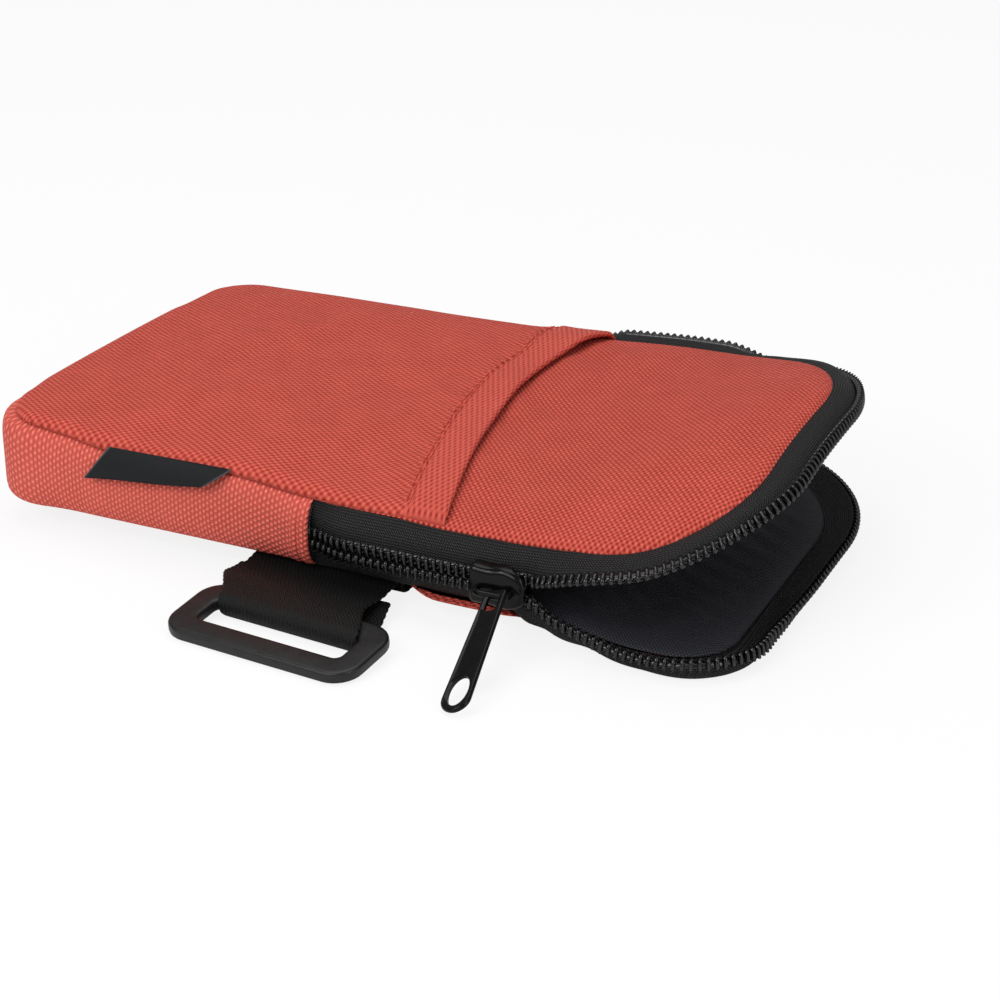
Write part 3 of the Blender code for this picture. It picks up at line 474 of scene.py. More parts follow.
def make_weave():
    """Plain weave: ((1 + s) / 2)^sharp + yarn |cos(pi u)|^0.8 + beat (cos(pi u) + cos(pi v)).

    s = cos(pi u) cos(pi v) turns over from one crossing to the next, and v leans by skew times u.
    """
    tree, given, out = group(
        "plain_weave",
        {"Place": None, "Pitch Along": 1.0, "Pitch Across": 1.0, "Sharp": 1.0, "Yarn": 0.1, "Beat": 0.0,
         "Skew": 0.0, "Uneven": 0.1},
        ("Height", "Float"))
    wander = noise(tree, given["Place"], 0.35, output="Color")
    shift = vector_op(tree, "SUBTRACT", wander, (0.5, 0.5, 0.5))
    shift = vector_op(tree, "SCALE", shift, None, None, given["Uneven"])
    split = split_place(tree, vector_op(tree, "ADD", given["Place"], shift))
    leant = op(tree, "SUBTRACT", split[1], op(tree, "MULTIPLY", split[0], given["Skew"]))
    along = wave(tree, "COSINE", op(tree, "DIVIDE", split[0], given["Pitch Along"]))
    over = wave(tree, "COSINE", op(tree, "DIVIDE", leant, given["Pitch Across"]))
    crossing = op(tree, "MULTIPLY_ADD", op(tree, "MULTIPLY", along, over), 0.5, 0.5)
    bumps = op(tree, "POWER", crossing, given["Sharp"])
    yarn = op(tree, "POWER", op(tree, "ABSOLUTE", along), 0.8)
    height = op(tree, "MULTIPLY_ADD", yarn, given["Yarn"], bumps)
    height = op(tree, "MULTIPLY_ADD", op(tree, "ADD", along, over), given["Beat"], height)
    feed(tree, out["Height"], height)
    feed(tree, out["Float"], op(tree, "DIVIDE", height, op(tree, "ADD", given["Yarn"], 1.0)))
    return tree


def make_twill():
    """Herringbone: dots where diagonal ribs, whose lean turns over every few ribs, cross the yarns."""
    tree, given, out = group("herringbone", {"Place": None, "Pitch": 0.9, "Band": 3.0}, ("Height",))
    split = split_place(tree, given["Place"])
    zigzag = op(tree, "PINGPONG", split[1], given["Band"])
    rib = ribs(tree, "SINE", op(tree, "DIVIDE", op(tree, "ADD", split[0], zigzag), given["Pitch"]))
    yarn = ribs(tree, "COSINE", op(tree, "DIVIDE", split[1], 0.62))
    feed(tree, out["Height"], op(tree, "MULTIPLY_ADD", rib, 0.25, op(tree, "MULTIPLY", rib, yarn)))
    return tree


def make_handling():
    """Faint dust and rubbing: two sizes of noise, put out as a mask and as a roughness change."""
    tree, given, out = group("handling", {"Place": None, "Size": 400.0}, ("Mask", "Change"))
    coarse = noise(tree, given["Place"], given["Size"], 4.0, 0.6)
    fine = noise(tree, given["Place"], op(tree, "MULTIPLY", given["Size"], 9.0))
    both = op(tree, "MULTIPLY_ADD", fine, 0.35, op(tree, "MULTIPLY", coarse, 0.75))
    feed(tree, out["Mask"], remap(tree, both, 0.42, 0.78, 0.0, 1.0))
    feed(tree, out["Change"], remap(tree, both, 0.3, 0.8, -0.06, 0.08))
    return tree


WEAVE = make_weave()
TWILL = make_twill()
HANDLING = make_handling()


def use(tree, kind, **values):
    """Places a node group, with its inputs given by name (a low line stands for a space)."""
    node = tree.nodes.new("ShaderNodeGroup")
    node.node_tree = kind
    for name, value in values.items():
        feed(tree, node.inputs[name.replace("_", " ")], value)
    return node.outputs


def start_finish(name, roughness, sheen=0.0, specular=0.5):
    made = bpy.data.materials.new(name)
    made.use_nodes = True
    shader = made.node_tree.nodes["Principled BSDF"]
    shader.inputs["Roughness"].default_value = roughness
    shader.inputs["Sheen Weight"].default_value = sheen
    shader.inputs["Specular IOR Level"].default_value = specular
    return made, made.node_tree, shader


def end_finish(tree, shader, colour, roughness, height, depth):
    """Feeds the shader; the height's bump is given its depth in millimetres."""
    feed(tree, shader.inputs["Base Color"], colour)
    feed(tree, shader.inputs["Roughness"], roughness)
    bump = add_node(tree, "Bump", {"Distance": depth * MM, "Strength": 1.0, "Height": height})
    feed(tree, shader.inputs["Normal"], bump.outputs[0])


def uv_place(tree):
    node = tree.nodes.new("ShaderNodeUVMap")
    node.uv_map = "cloth"
    return node.outputs[0]


def woven(name, pitches, depth, low, high, roughness, sharp=1.0, yarn=0.1, beat=0.0, skew=0.0,
          uneven=0.25, sheen=0.0, specular=0.15):
    """Cloth in plain weave: yarn shape, streaky fibres and patchy colour; the colour also follows the
    weave, with painted shade in the hollows between yarns and painted highlight on the raised floats.
    """
    made, tree, shader = start_finish(name, roughness, sheen=sheen, specular=specular)
    place = uv_place(tree)
    weave = use(tree, WEAVE, Place=place, Pitch_Along=pitches[0], Pitch_Across=pitches[1],
                Sharp=sharp, Yarn=yarn, Beat=beat, Skew=skew, Uneven=uneven)
    fibre = noise(tree, vector_op(tree, "MULTIPLY", place, (7.0, 1.6, 1.0)), 1.0, 3.0, 0.6)
    patch = noise(tree, place, 0.09, 3.0, 0.6)
    # Colour share: the weave's float (painted shade between yarns, painted highlight on floats) plus
    # random fibre and patch tone.
    shade = op(tree, "MULTIPLY_ADD", fibre, 0.30, op(tree, "MULTIPLY_ADD", patch, 0.24, -0.27))
    shade = op(tree, "ADD", weave["Float"], shade)
    rough = remap(tree, weave["Float"], 0, 1, roughness + 0.15, roughness)
    height = op(tree, "MULTIPLY_ADD", fibre, 0.25, weave["Height"])
    end_finish(tree, shader, tint(tree, shade, low, high), rough, height, depth)
    return made


# Red cloth colours: the low one is painted shade for the weave's hollows, the high one painted highlight
# for its floats.
RED_SHADED, RED_LIT = (0.24, 0.013, 0.006), (0.74, 0.126, 0.090)
RED_DEPTH = 0.34
RED_CLOTH = woven("coarse_red_cloth", (1.0, 0.71), RED_DEPTH, RED_SHADED, RED_LIT, 0.6,
                  yarn=0.08, skew=0.128, sheen=0.02)
RED_FRONT = woven("coarse_red_front_cloth", (0.69, 0.76), RED_DEPTH, RED_SHADED, RED_LIT, 0.6,
                  yarn=0.0, beat=0.1, sheen=0.02)
RED_HEM = woven("coarse_red_hem_cloth", (0.71, 1.45), RED_DEPTH, (0.20, 0.010, 0.005),
                (0.64, 0.102, 0.072), 0.6, sharp=0.45, yarn=0.0, sheen=0.02)
# Lighter copy of the red cloth for the side wall: its raised colours are painted light, and its high
# colour holds painted highlights on the floats.
RED_GUSSET_LIT = woven("coarse_red_side_cloth_lit", (1.08, 0.69), RED_DEPTH, (0.30, 0.018, 0.010),
                   (0.95, 0.210, 0.158), 0.6, sharp=1.5, yarn=0.6, sheen=0.02)
LINING = woven("black_lining_cloth", (0.45, 0.45), 0.10, (0.002, 0.002, 0.003), (0.048, 0.049, 0.060),
               0.45, uneven=0.1)
WEBBING = woven("ribbed_webbing", (0.50, 1.15), 0.18, grey(0.001), (0.009, 0.0085, 0.008), 0.5,
                yarn=0.7, uneven=0.08, specular=0.2)
RED_THREAD = woven("red_thread", (0.5, 0.25), 0.05, (0.20, 0.012, 0.007), (0.46, 0.045, 0.030), 0.6)
BLACK_THREAD = woven("black_thread", (0.5, 0.25), 0.05, grey(0.002), grey(0.014), 0.5)


def make_tape_finish():
    made, tree, shader = start_finish("twill_zip_tape", 0.6, specular=0.22)
    place = uv_place(tree)
    twill = use(tree, TWILL, Place=place, Pitch=0.66, Band=2.6)
    fibre = noise(tree, vector_op(tree, "MULTIPLY", place, (2.6, 5.0, 1.0)), 1.0, 3.0, 0.6)
    height = op(tree, "MULTIPLY_ADD", fibre, 0.8, twill["Height"])
    # Lighter on the twill's raised dots and darker between them: painted glints and painted shade.
    share = op(tree, "POWER", remap(tree, height, 0.45, 1.7, 0.0, 1.0), 1.6)
    colour = tint(tree, share, grey(0.001), (0.045, 0.045, 0.047))
    end_finish(tree, shader, colour, remap(tree, share, 0, 1, 0.7, 0.45), height, 0.22)
    return made


def make_smooth_finish(name, low, high, roughness, depth, grain, specular=0.5):
    """Moulded or painted surface: fine grain, faint dust and an uneven gloss."""
    made, tree, shader = start_finish(name, roughness, specular=specular)
    place = tree.nodes.new("ShaderNodeTexCoord").outputs["Object"]
    hands = use(tree, HANDLING, Place=place, Size=300.0)
    rough = op(tree, "ADD", hands["Change"], roughness)
    height = noise(tree, place, grain, 3.0, 0.6)
    end_finish(tree, shader, tint(tree, hands["Mask"], low, high), rough, height, depth)
    return made


TAPE_FINISH = make_tape_finish()
COIL_FINISH = make_smooth_finish("glossy_coil_nylon", grey(0.002), grey(0.007), 0.20, 0.02, 1500.0)
PAINT = make_smooth_finish("glossy_black_paint", grey(0.002), (0.0045, 0.0042, 0.0042),
                           0.14, 0.02, 700.0, specular=0.16)
PLASTIC = make_smooth_finish("satin_black_plastic", (0.005, 0.0045, 0.0045), (0.012, 0.011, 0.011),
                             0.38, 0.05, 1800.0, specular=0.35)
FOAM = make_smooth_finish("grey_foam", (0.28, 0.28, 0.29), (0.42, 0.42, 0.43), 0.9, 0.15, 1200.0)

LABEL_LENGTH = 34


def make_label_finish():
    """Satin ribbon: fine ribs along it, with painted shade in the grooves between ribs, and lighter at its
    cut ends.
    """
    made, tree, shader = start_finish("black_satin_ribbon", 0.45, specular=0.15)
    split = split_place(tree, uv_place(tree))
    along = ribs(tree, "SINE", split[1], math.pi / 0.32)
    height = op(tree, "MULTIPLY_ADD", ribs(tree, "SINE", split[0], math.pi / 0.45), 0.4, along)
    middle = LABEL_LENGTH / 2
    from_middle = op(tree, "ABSOLUTE", op(tree, "SUBTRACT", split[0], middle))
    cut = remap(tree, from_middle, middle - 0.7, middle, 0.0, 1.0)
    # Darker in the grooves between ribs and lighter on their tops: painted shade and painted highlight.
    dark = tint(tree, height, grey(0.002), (0.008, 0.009, 0.010))
    end_finish(tree, shader, tint(tree, cut, dark, (0.07, 0.07, 0.08)), None, height, 0.05)
    return made


def make_pile_finish():
    made, tree, shader = start_finish("black_pile", 0.85, sheen=0.4, specular=0.2)
    tufts = noise(tree, uv_place(tree), 2.2, 4.0, 0.7)
    colour = tint(tree, tufts, grey(0.004), (0.034, 0.034, 0.035))
    end_finish(tree, shader, colour, remap(tree, tufts, 0, 1, 0.95, 0.8), tufts, 0.5)
    return made


LABEL_FINISH = make_label_finish()
PILE_FINISH = make_pile_finish()


def follow(obj, body):
    """Rides a piece on its body; the flap's pieces are not attached and only have their transform baked
    into their mesh.
    """
    if body == "flap":
        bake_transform(obj)
    else:
        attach(obj, body)


# Front cloth, back cloth, padding and linings

def front_skin(x, y):
    """Front cloth: from the seam over a rounded shoulder to the crowned top."""
    distance = inside(x, y, FRONT_CORNERS)
    high = front_top(x, y) + skin_rise(x, y) + relief(x, y) * smooth(distance, 0, 14)
    folds = 0.3 * np.sin(0.42 * y + 0.35 * x) * hump(x - hem_edge(y), 7, 7)
    return mix(seam_top(x, y) - SEAM_DROP, high + folds * smooth(distance, 0, 10), shoulder(distance))


def lining_folds(x, y):
    """Loose lining: shallow folds that fan from the corners."""
    fan = 0.22 * np.sin(0.45 * x + 0.2 * y + 0.8 * np.sin(0.09 * y)) * smooth(x, 20, 60)
    long_folds = 0.25 * np.sin(0.13 * x - 0.32 * y + 1.0)
    return fan + long_folds + 0.1 * np.sin(0.9 * x + 0.5 * y + np.sin(0.2 * y))


def lining_parts(x, y, distance, inset, seam, high):
    """Lining that leaves its seam over a wide shoulder, and thins to nothing at its edge."""
    top = mix(seam, high, shoulder(distance - inset, LINING_SHOULDER))
    return sheet_parts(x, y, top, top - LINING_THICK * smooth(distance, inset, inset + 0.8))


def make_front():
    x, y, distance = layer_plan(FRONT_CORNERS)
    top = front_skin(x, y)
    bottom = top - CLOTH * shoulder(distance)
    x, y = overhang(x, y, FRONT_CORNERS, 0.3 * smooth(x, 0, 25))
    cloth = make_piece("front_cloth", sheet_parts(x, y, top, bottom), RED_FRONT, "red_weave")
    follow(cloth, "flap")
    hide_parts("front_panel", "flap_panel")

    inset = 2.0
    x, y, distance = layer_plan(FRONT_CORNERS, inset)
    top = front_skin(x, y) - CLOTH - 0.25
    bottom = top - PADDING * shoulder(distance - inset)
    pad = make_piece("front_padding", sheet_parts(x, y, top, bottom), FOAM, "padding")
    follow(pad, "flap")
    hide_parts("front_foam", "flap_foam")

    inset = 1.5
    x, y, distance = layer_plan(FRONT_CORNERS, inset)
    high = front_top(x, y) + skin_rise(x, y) - 3.5 + lining_folds(x, y) * smooth(distance, 2, 12)
    parts = lining_parts(x, y, distance, inset, seam_top(x, y) - 1.0, high)
    lining = make_piece("front_lining_cloth", parts, LINING, "black_lining")
    follow(lining, "flap")
    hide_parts("front_lining", "flap_lining")


def make_back():
    x, y, distance = layer_plan(BACK_CORNERS)
    turned = np.arcsin(np.clip(shoulder(distance), 0, 1)) / (np.pi / 2)
    near = smooth(x, 17, 25) * smooth(x, 52, 43) * (1 - across(y))
    waves = 0.12 * np.sin(x / 7 + y / 9) - 0.4 * near * np.sin(np.pi * turned)
    under = mix(edge_low(x, y), back_under(x, y) + waves, smooth(turned, 0, 0.55))
    top = under + CLOTH * smooth(turned, 0, 0.5)
    x, y = overhang(x, y, BACK_CORNERS, 2.3 * near - 0.3 - 1.0 * (1 - smooth(x, 15, 22)))
    cloth = make_piece("back_cloth", sheet_parts(x, y, top, under), RED_CLOTH, "red_weave")
    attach(cloth, "pouch")
    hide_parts("back_panel")

    inset = 2.0
    x, y, distance = layer_plan(BACK_CORNERS, inset)
    low = back_under(x, y) + CLOTH + 0.3
    fill = PADDING * shoulder(distance - inset)
    pad = make_piece("back_padding", sheet_parts(x, y, low + fill, low), FOAM, "padding")
    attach(pad, "pouch")
    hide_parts("back_foam")

    inset = 0.2
    x, y, distance = layer_plan(BACK_CORNERS, inset)
    high = back_under(x, y) + 3.7 + lining_folds(y, x) * smooth(distance, 2, 12)
    parts = lining_parts(x, y, distance, inset, seam_bottom(x, y) + 1.0, high)
    lining = make_piece("back_lining_cloth", parts, LINING, "black_lining")
    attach(lining, "pouch")
    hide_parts("back_lining")


# Slip pocket with its folded, twice stitched hem

HEM_BAND = 10.4
HEM_NOSE = 0.8
STITCH_ROWS = (10.8, 9.9)
MOUTH = 19.0
FINE_BEHIND = 15.0


def hem_edge(y):
    """The mouth line, a polynomial in y."""
    t = y / HALF
    return 17.17 + t * (-6.82 + t * (7.4 + t * (4.35 + t * 1.49)))


def hem_width(y):
    return 1 + 0.52 * smooth(y, 30, 54)


def hem_depth(x, y):
    """Distance behind the mouth line, in the measure of the band's near part."""
    return (hem_edge(y) - x) / hem_width(y)


def on_hem(behind):
    """Share of the folded hem: 0 on the pocket's single cloth, 1 on the band."""
    return smooth(-behind, -HEM_BAND - 1.6, -HEM_BAND - 0.4)


def hem_lift(y, behind):
    """The opening gapes a little near its far end."""
    return smooth(behind, 16, 0) * (0.25 + 1.3 * hump(y, 43, 7) + 0.5 * hump(y, 0, 30))


def pocket_skin(x, y):
    """Pocket cloth over the front; its hem is one fold higher, with a groove at each row of stitches."""
    behind = hem_depth(x, y)
    distance = inside(x, y, FRONT_CORNERS)
    high = front_top(x, y) + LAYER + skin_rise(x, y) + relief(x, y) * smooth(distance, 0, 14)
    high = high + 0.75 * on_hem(behind) + hem_lift(y, behind)
    for row in STITCH_ROWS:
        high = high - 0.55 * hump(behind, row, 0.6)
    pucker = 0.22 * np.sin(y * 2.1 + 0.6 * np.sin(x)) * hump(behind, 10.5, 2.4)
    pucker = pucker + 0.14 * np.sin(y * 0.83 + 0.4 * x) * hump(behind, 12, 6)
    return mix(seam_top(x, y) - SEAM_DROP, high + pucker * smooth(distance, 0, 4), shoulder(distance))


def pocket_plan():
    """Rows that are straight at the closed end and follow the mouth line from 15 mm behind it."""
    low = CLOSED_END + CLOSED_CORNER
    fine = MOUTH - FINE_BEHIND
    xs = join(stations(CLOSED_END, low, False), np.linspace(low, fine, 58)[1:],
              np.linspace(fine, MOUTH - HEM_NOSE, 46)[1:])
    even_x, y = plan_grid(xs, FRONT_CORNERS)
    fine_x = hem_edge(y) - (MOUTH - even_x) * hem_width(y)
    body_end = hem_edge(y) - FINE_BEHIND * hem_width(y)
    body_x = mix(low, body_end, (even_x - low) / (fine - low))
    return np.select([even_x < low, even_x < fine], [even_x, body_x], fine_x), y


def make_pocket():
    """The cloth turns round a half circle at its mouth and runs back below itself."""
    x, y = pocket_plan()
    top = pocket_skin(x, y)
    thickness = mix(0.55, 1.45, on_hem(hem_depth(x, y))) * shoulder(inside(x, y, FRONT_CORNERS))
    bottom = top - thickness
    x, y = overhang(x, y, FRONT_CORNERS, front_overhang(x, y))
    turn = turns(0, 180, 9)[1:-1, None]
    nose_x = x[-1] + thickness[-1] / 2 * np.sin(turn)
    nose_z = top[-1] - thickness[-1] / 2 * (1 - np.cos(turn))
    nose_y = np.broadcast_to(y[-1], nose_x.shape)
    points = stack(join(x, nose_x, x[::-1]), join(y, nose_y, y[::-1]), join(top, nose_z, bottom[::-1]))
    uv = points[..., :2].copy()
    uv[len(x):len(x) + len(nose_x), :, 0] += np.linspace(0, 1.6, len(nose_x))[:, None]
    pocket = make_piece("pocket_cloth", [grid_part(points, uv)], RED_CLOTH, "red_weave")
    pocket.data.materials.append(RED_HEM)
    middles = np.empty(3 * len(pocket.data.polygons))
    pocket.data.polygons.foreach_get("center", middles)
    middle_x, middle_y, _ = middles.reshape(-1, 3).T / MM
    banded = hem_depth(middle_x, middle_y) < STITCH_ROWS[0] + 0.1
    pocket.data.polygons.foreach_set("material_index", banded.astype(np.int32))
    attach(pocket, "pouch")
    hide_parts("pocket_panel", "pocket_hem")

    pitch, per_stitch = 2.6, 10
    y = np.linspace(-52.0, 52.0, int(104 / pitch) * per_stitch + 1)
    for number, row in enumerate(STITCH_ROWS):
        x = hem_edge(y) - row * hem_width(y)
        path = stack(x, y, pocket_skin(x, y) + (0.24 * stitch_rise(len(y), per_stitch) - 0.24))
        add_thread("hem_stitches_%d" % (number + 1), path, 0.14)


def add_thread(name, path, radius):
    rings = tube_sections(path, radius, 6, np.array([1.0, 0, 0]))
    thread = make_piece(name, loft(rings), RED_THREAD, "red_weave")
    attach(thread, "pouch")


# Side wall round the closed end

def gusset_bulge(x, t):
    """Boxy at the closed end and rounder along the sides, tucked in at both seams."""
    end = smooth(x, -78, -93)
    reach = mix(2.5, 3.3, smooth(x, -16, -7)) + 1.2 * end
    power = mix(3.0, 8.0, end)
    return reach * (1 - np.abs(2 * t - 1) ** power) - SEAM_TUCK * np.abs(2 * t - 1) ** 26


def gusset_point(distance, t, sink=0.0):
    """Place on the wall, with t from its lower to its upper seam, sunk below its outer face."""
    x, y, out_x, out_y = outline(distance, ZIP_START, -1, CLOSED_CORNERS)
    low, high = edge_low(x, y), seam_top(x, y) - SEAM_DROP
    out = gusset_bulge(x, t) - sink + 0.12 * np.sin(distance * 0.55) * np.sin(np.pi * t)
    lift = mix(0.2, 0.8, smooth(x, -78, -93)) * hump(t, 0.93, 0.06)
    return stack(x + out_x * out, y + out_y * out, mix(low, high, t) + lift)


def make_gusset():
    """Outer wall with a hemmed end, stitched 2.6 mm from each edge, and its lining inside."""
    total = outline_length(ZIP_START, -1, CLOSED_CORNERS)
    stitch_at = 2.6
    ends = np.array([0, 0.12, 0.35, 0.7, 1.2, 1.8, 2.3, 2.6, 2.9, 3.4, 4.2, 5.0])
    run = join(ends, np.linspace(6.2, total - 6.2, 176), total - ends[::-1])
    t = 0.5 - 0.5 * np.cos(np.pi * np.linspace(0, 1, 33))
    distance, height = np.meshgrid(run, t, indexing="ij")
    from_end = np.minimum(distance, total - distance)
    from_seam = np.minimum(height, 1 - height)
    hem = 0.55 * smooth(from_end, 5.0, 4.0) * shoulder(from_end, 0.7) * shoulder(from_seam, 0.05)
    groove = 0.5 * hump(from_end, stitch_at, 0.5)
    thins = shoulder(from_seam, 0.12)
    uv = stack(distance, height * 17)
    parts = two_skins(gusset_point(distance, height, groove - hem),
                      gusset_point(distance, height, CLOTH * thins), uv)
    cloth = make_piece("side_cloth", parts, RED_GUSSET_LIT, "red_weave", close=True)
    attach(cloth, "pouch")
    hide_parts("gusset")

    parts = two_skins(gusset_point(distance, height, 1.4),
                      gusset_point(distance, height, 1.4 + LINING_THICK * thins), uv)
    lining = make_piece("side_lining_cloth", parts, LINING, "black_lining", close=True)
    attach(lining, "pouch")
    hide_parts("gusset_lining")

    sink = 0.7 - 0.28 * stitch_rise(81, 10)
    for name, at in (("side_stitches_near", stitch_at), ("side_stitches_far", total - stitch_at)):
        add_thread(name, gusset_point(np.full(81, at), np.linspace(0.06, 0.94, 81), sink), 0.17)


# Zip tapes and coils, in a section that runs outward and up from the outline

# Each tape's span, its slope from seam to edge and its slope at the edge, in degrees
FLAP_CLOSED, FLAP_NEAR, FLAP_END = (8.9, 62, 62), (8.6, 20, 26), (7.2, 2, 40)
FLAP_FAR_START, FLAP_FAR = (8.9, 85, 85), (6.0, 11, 80)
FLAP_FAR_END, FLAP_CORNER = (5.9, 35, 88), (6.4, 30, 84)
LIP_CLOSED, LIP_NEAR, LIP_END = (7.6, 61, 61), (5.65, 28, 104), (7.2, 24, 40)
TAPE = 0.6


def mix_rows(first, second, t):
    return mix(np.asarray(first, float), np.asarray(second, float), t[..., None])


def chain_spread(x):
    """The chain is parted from the slider's middle to its nose and a little past it."""
    return 1.2 * smooth(x, NOSE - 0.6 * SLIDER_LENGTH, NOSE) * (1 - smooth(x, NOSE + 2, NOSE + 8))


def tape_section(x, y, side):
    """Seam, handle, edge and end direction of a tape; side is 1 for the flap's and -1 for the lip's."""
    far = smooth(across(y))
    far_opening = smooth(x, ZIP_START, ZIP_START + 30)
    closed = mix(1 - smooth(x, NOSE, NOSE + 6), 1 - far_opening, far)
    if side > 0:
        near_values = mix_rows(FLAP_CLOSED, FLAP_NEAR, smooth(x, 44, 72))
        near_values = mix_rows(near_values, FLAP_END, smooth(x, 72, ZIP_END))
        far_values = mix_rows(FLAP_FAR_START, FLAP_FAR, far_opening)
        far_values = mix_rows(far_values, FLAP_FAR_END, smooth(x, 50, 64))
        values = mix_rows(near_values, far_values, far)
        values = mix_rows(values, FLAP_CORNER, smooth(x, 62, 82) * smooth(y, 6, 36))
        seam_z = seam_top(x, y) - 0.1
        hang = 0.33 * smooth(x, 54, 66) * smooth(y, 25, 45)
        longer = sag = 0.0
    else:
        values = mix_rows(LIP_CLOSED, LIP_NEAR, smooth(x, 47, 79))
        past_near = np.maximum(smooth(y, -44, -10), far)
        values = mix_rows(values, LIP_END, past_near * smooth(x, 0, 24))
        seam_z = edge_low(x, y) + 0.2 - 0.5 * (1 - smooth(x, 17, 27))
        hang = 0.40 * smooth(x, 51, 70) * smooth(y, -10, -44)
        longer = 1.7 * smooth(x, 78, 88) * smooth(y, -38, -50)
        sag = 4.8 * smooth(x, 43, 50) * smooth(x, 67, 55) * (1 - far)
    seam = stack(-0.9, seam_z)
    span = values[..., 0] + 0.35 + longer
    chord, end_angle = np.radians(values[..., 1]), np.radians(values[..., 2])
    open_edge = stack(span * np.cos(chord), seam_z - side * span * np.sin(chord))
    chain = BACK_Z + mix(CHAIN_RISE, 11.9, far)
    out = mix(CHAIN_SUNK, CHAIN_OUT, smooth(x, ZIP_START - 1.5, ZIP_START + 11))
    closed_edge = stack(out, chain + side * (CHAIN_EDGE + chain_spread(x)))
    edge = mix(open_edge, closed_edge, closed[..., None])
    end_angle = mix(end_angle, np.pi / 2, closed)
    way = stack(np.cos(end_angle), -side * np.sin(end_angle))
    reach = np.linalg.norm(edge - seam, axis=-1, keepdims=True)
    handle = edge - way * reach * (0.52 + hang)[..., None]
    handle[..., 1] -= sag
    return seam, handle, edge, way


def outward(way, side):
    return np.stack([-side * way[..., 1], side * way[..., 0]], -1)


def tape_corners(side):
    return FRONT_CORNERS if side > 0 else BACK_CORNERS


def in_world(distance, side, offset_at):
    """World places of points on the tape's section; offset_at(x, y) gives (outward, up) pairs."""
    x, y, out_x, out_y = outline(distance, ZIP_START, 1, tape_corners(side))
    out, up = np.moveaxis(offset_at(x, y), -1, 0)
    return stack(x + out_x * out, y + out_y * out, up)


def make_tape(name, side, body):
    """Tape along a parabola from its seam by its handle to its edge, with rounded long edges."""
    total = outline_length(ZIP_START, 1, tape_corners(side))
    run = np.linspace(-2.5, total + 2.5, int(total))[:, None]
    t = np.linspace(0, 1, 11)
    t = join(t, t[::-1])
    depth = join([0.2], np.zeros(9), [0.2, 0.8], np.ones(9), [0.8])[:, None]

    def offset_at(x, y):
        seam, handle, edge, _ = tape_section(x, y, side)
        share = np.broadcast_to(t, x.shape)[..., None]
        point = seam * (1 - share) ** 2 + handle * 2 * share * (1 - share) + edge * share ** 2
        way = unit(mix(handle - seam, edge - handle, share))
        return point - outward(way, side) * TAPE * depth
    sections = in_world(np.broadcast_to(run, (len(run), len(t))), side, offset_at)
    width = join(np.linspace(0, 9, 11), np.linspace(9, 18, 11), [18])
    tape = make_piece(name, loft(sections, stack(run, width)), TAPE_FINISH, "zip_tape", sharp=50)
    follow(tape, body)
    return tape, total


def coil_place(distance, side, across_at, height):
    """World places across_at past the coil's middle and height above the tape's outer face."""
    def offset_at(x, y):
        _, _, edge, way = tape_section(x, y, side)
        level = np.zeros(x.shape)
        out = way * (across_at + level - COIL_SET_BACK)[..., None]
        return edge + out + outward(way, side) * (height + level)[..., None]
    return in_world(distance, side, offset_at)


def make_coil(name, side, body, first, total):
    """One flattened spiral: the top leg crosses the tape, the head turns, the lower leg steps on.

    Turns are one pitch apart along the coil's own middle line. A filling runs inside them, and
    stitches cross over them.
    """
    known = np.linspace(0, total, 3001)
    length = run_along(coil_place(known, side, 0.0, COIL_HEIGHT))
    count = int(length[-1] / COIL_PITCH - first)

    def at(turn):
        return np.interp(COIL_PITCH * (turn + first), length, known)
    steps = 14
    turn = np.arange(count * steps) / steps
    angle = 2 * np.pi * (turn % 1)
    forward = np.floor(turn) + 0.15 * (turn % 1) + 0.85 * smooth(angle, np.pi * 0.95, 2 * np.pi)
    distance = at(forward)
    cosine, sine = np.cos(angle), np.sin(angle)
    across_at = -np.where(cosine < 0, 1.35, 0.85) * signed_power(cosine, 0.7)
    path = coil_place(distance, side, across_at, COIL_HEIGHT + 0.58 * signed_power(sine, 0.6))
    head = smooth(-cosine, -0.2, 1.0)
    ahead = coil_place(distance + 0.5, side, 0.0, COIL_HEIGHT)
    behind = coil_place(distance - 0.5, side, 0.0, COIL_HEIGHT)
    parts = loft(tube_sections(path, 0.50 + 0.08 * head, 6, unit(ahead - behind)))

    round_it = turns(0, 360, 8, False)[None]
    run = np.broadcast_to(at(np.arange(0, count - 0.5, 0.5))[:, None], (2 * count - 1, 8))
    parts += loft(coil_place(run, side, 0.95 * np.cos(round_it) - 0.2,
                             COIL_HEIGHT - 0.4 + 0.65 * np.sin(round_it)))
    coil = make_piece(name, parts, COIL_FINISH, "zip_coil")

    beat = np.arange(count * 6 - 3) / 6
    rise = COIL_HEIGHT + 0.55 + 0.30 * np.cos(2 * np.pi * (beat - 0.04))
    thread = coil_place(at(beat), side, -1.0 - 0.25 * np.cos(2 * np.pi * beat), rise)
    lines = loft(tube_sections(thread, 0.14, 5, np.array([0, 0, 1.0])))
    stitches = make_piece(name + "_stitches", lines, BLACK_THREAD, "zip_tape")
    for piece in (coil, stitches):
        follow(piece, body)
    return coil


def make_zip():
    tape, total = make_tape("front_zip_tape", 1, "flap")
    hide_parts("zip_tape_front_near", "zip_tape_front_far", "zip_tape_flap")
    coil = make_coil("front_zip_coil", 1, "flap", 0.0, total)
    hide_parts("zip_coil_front_near", "zip_coil_front_far", "zip_coil_flap")
    tape, total = make_tape("back_zip_tape", -1, "pouch")
    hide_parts("zip_tape_back")
    coil = make_coil("back_zip_coil", -1, "pouch", 0.5, total)
    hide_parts("zip_coil_back")


# Slider with its bridge and its pull

FACE_Y = -(HALF + CHAIN_OUT)
CHAIN_Z = BACK_Z + CHAIN_RISE
NOSE_ROUND = 5.8
PLATE_CORNER = 1.7


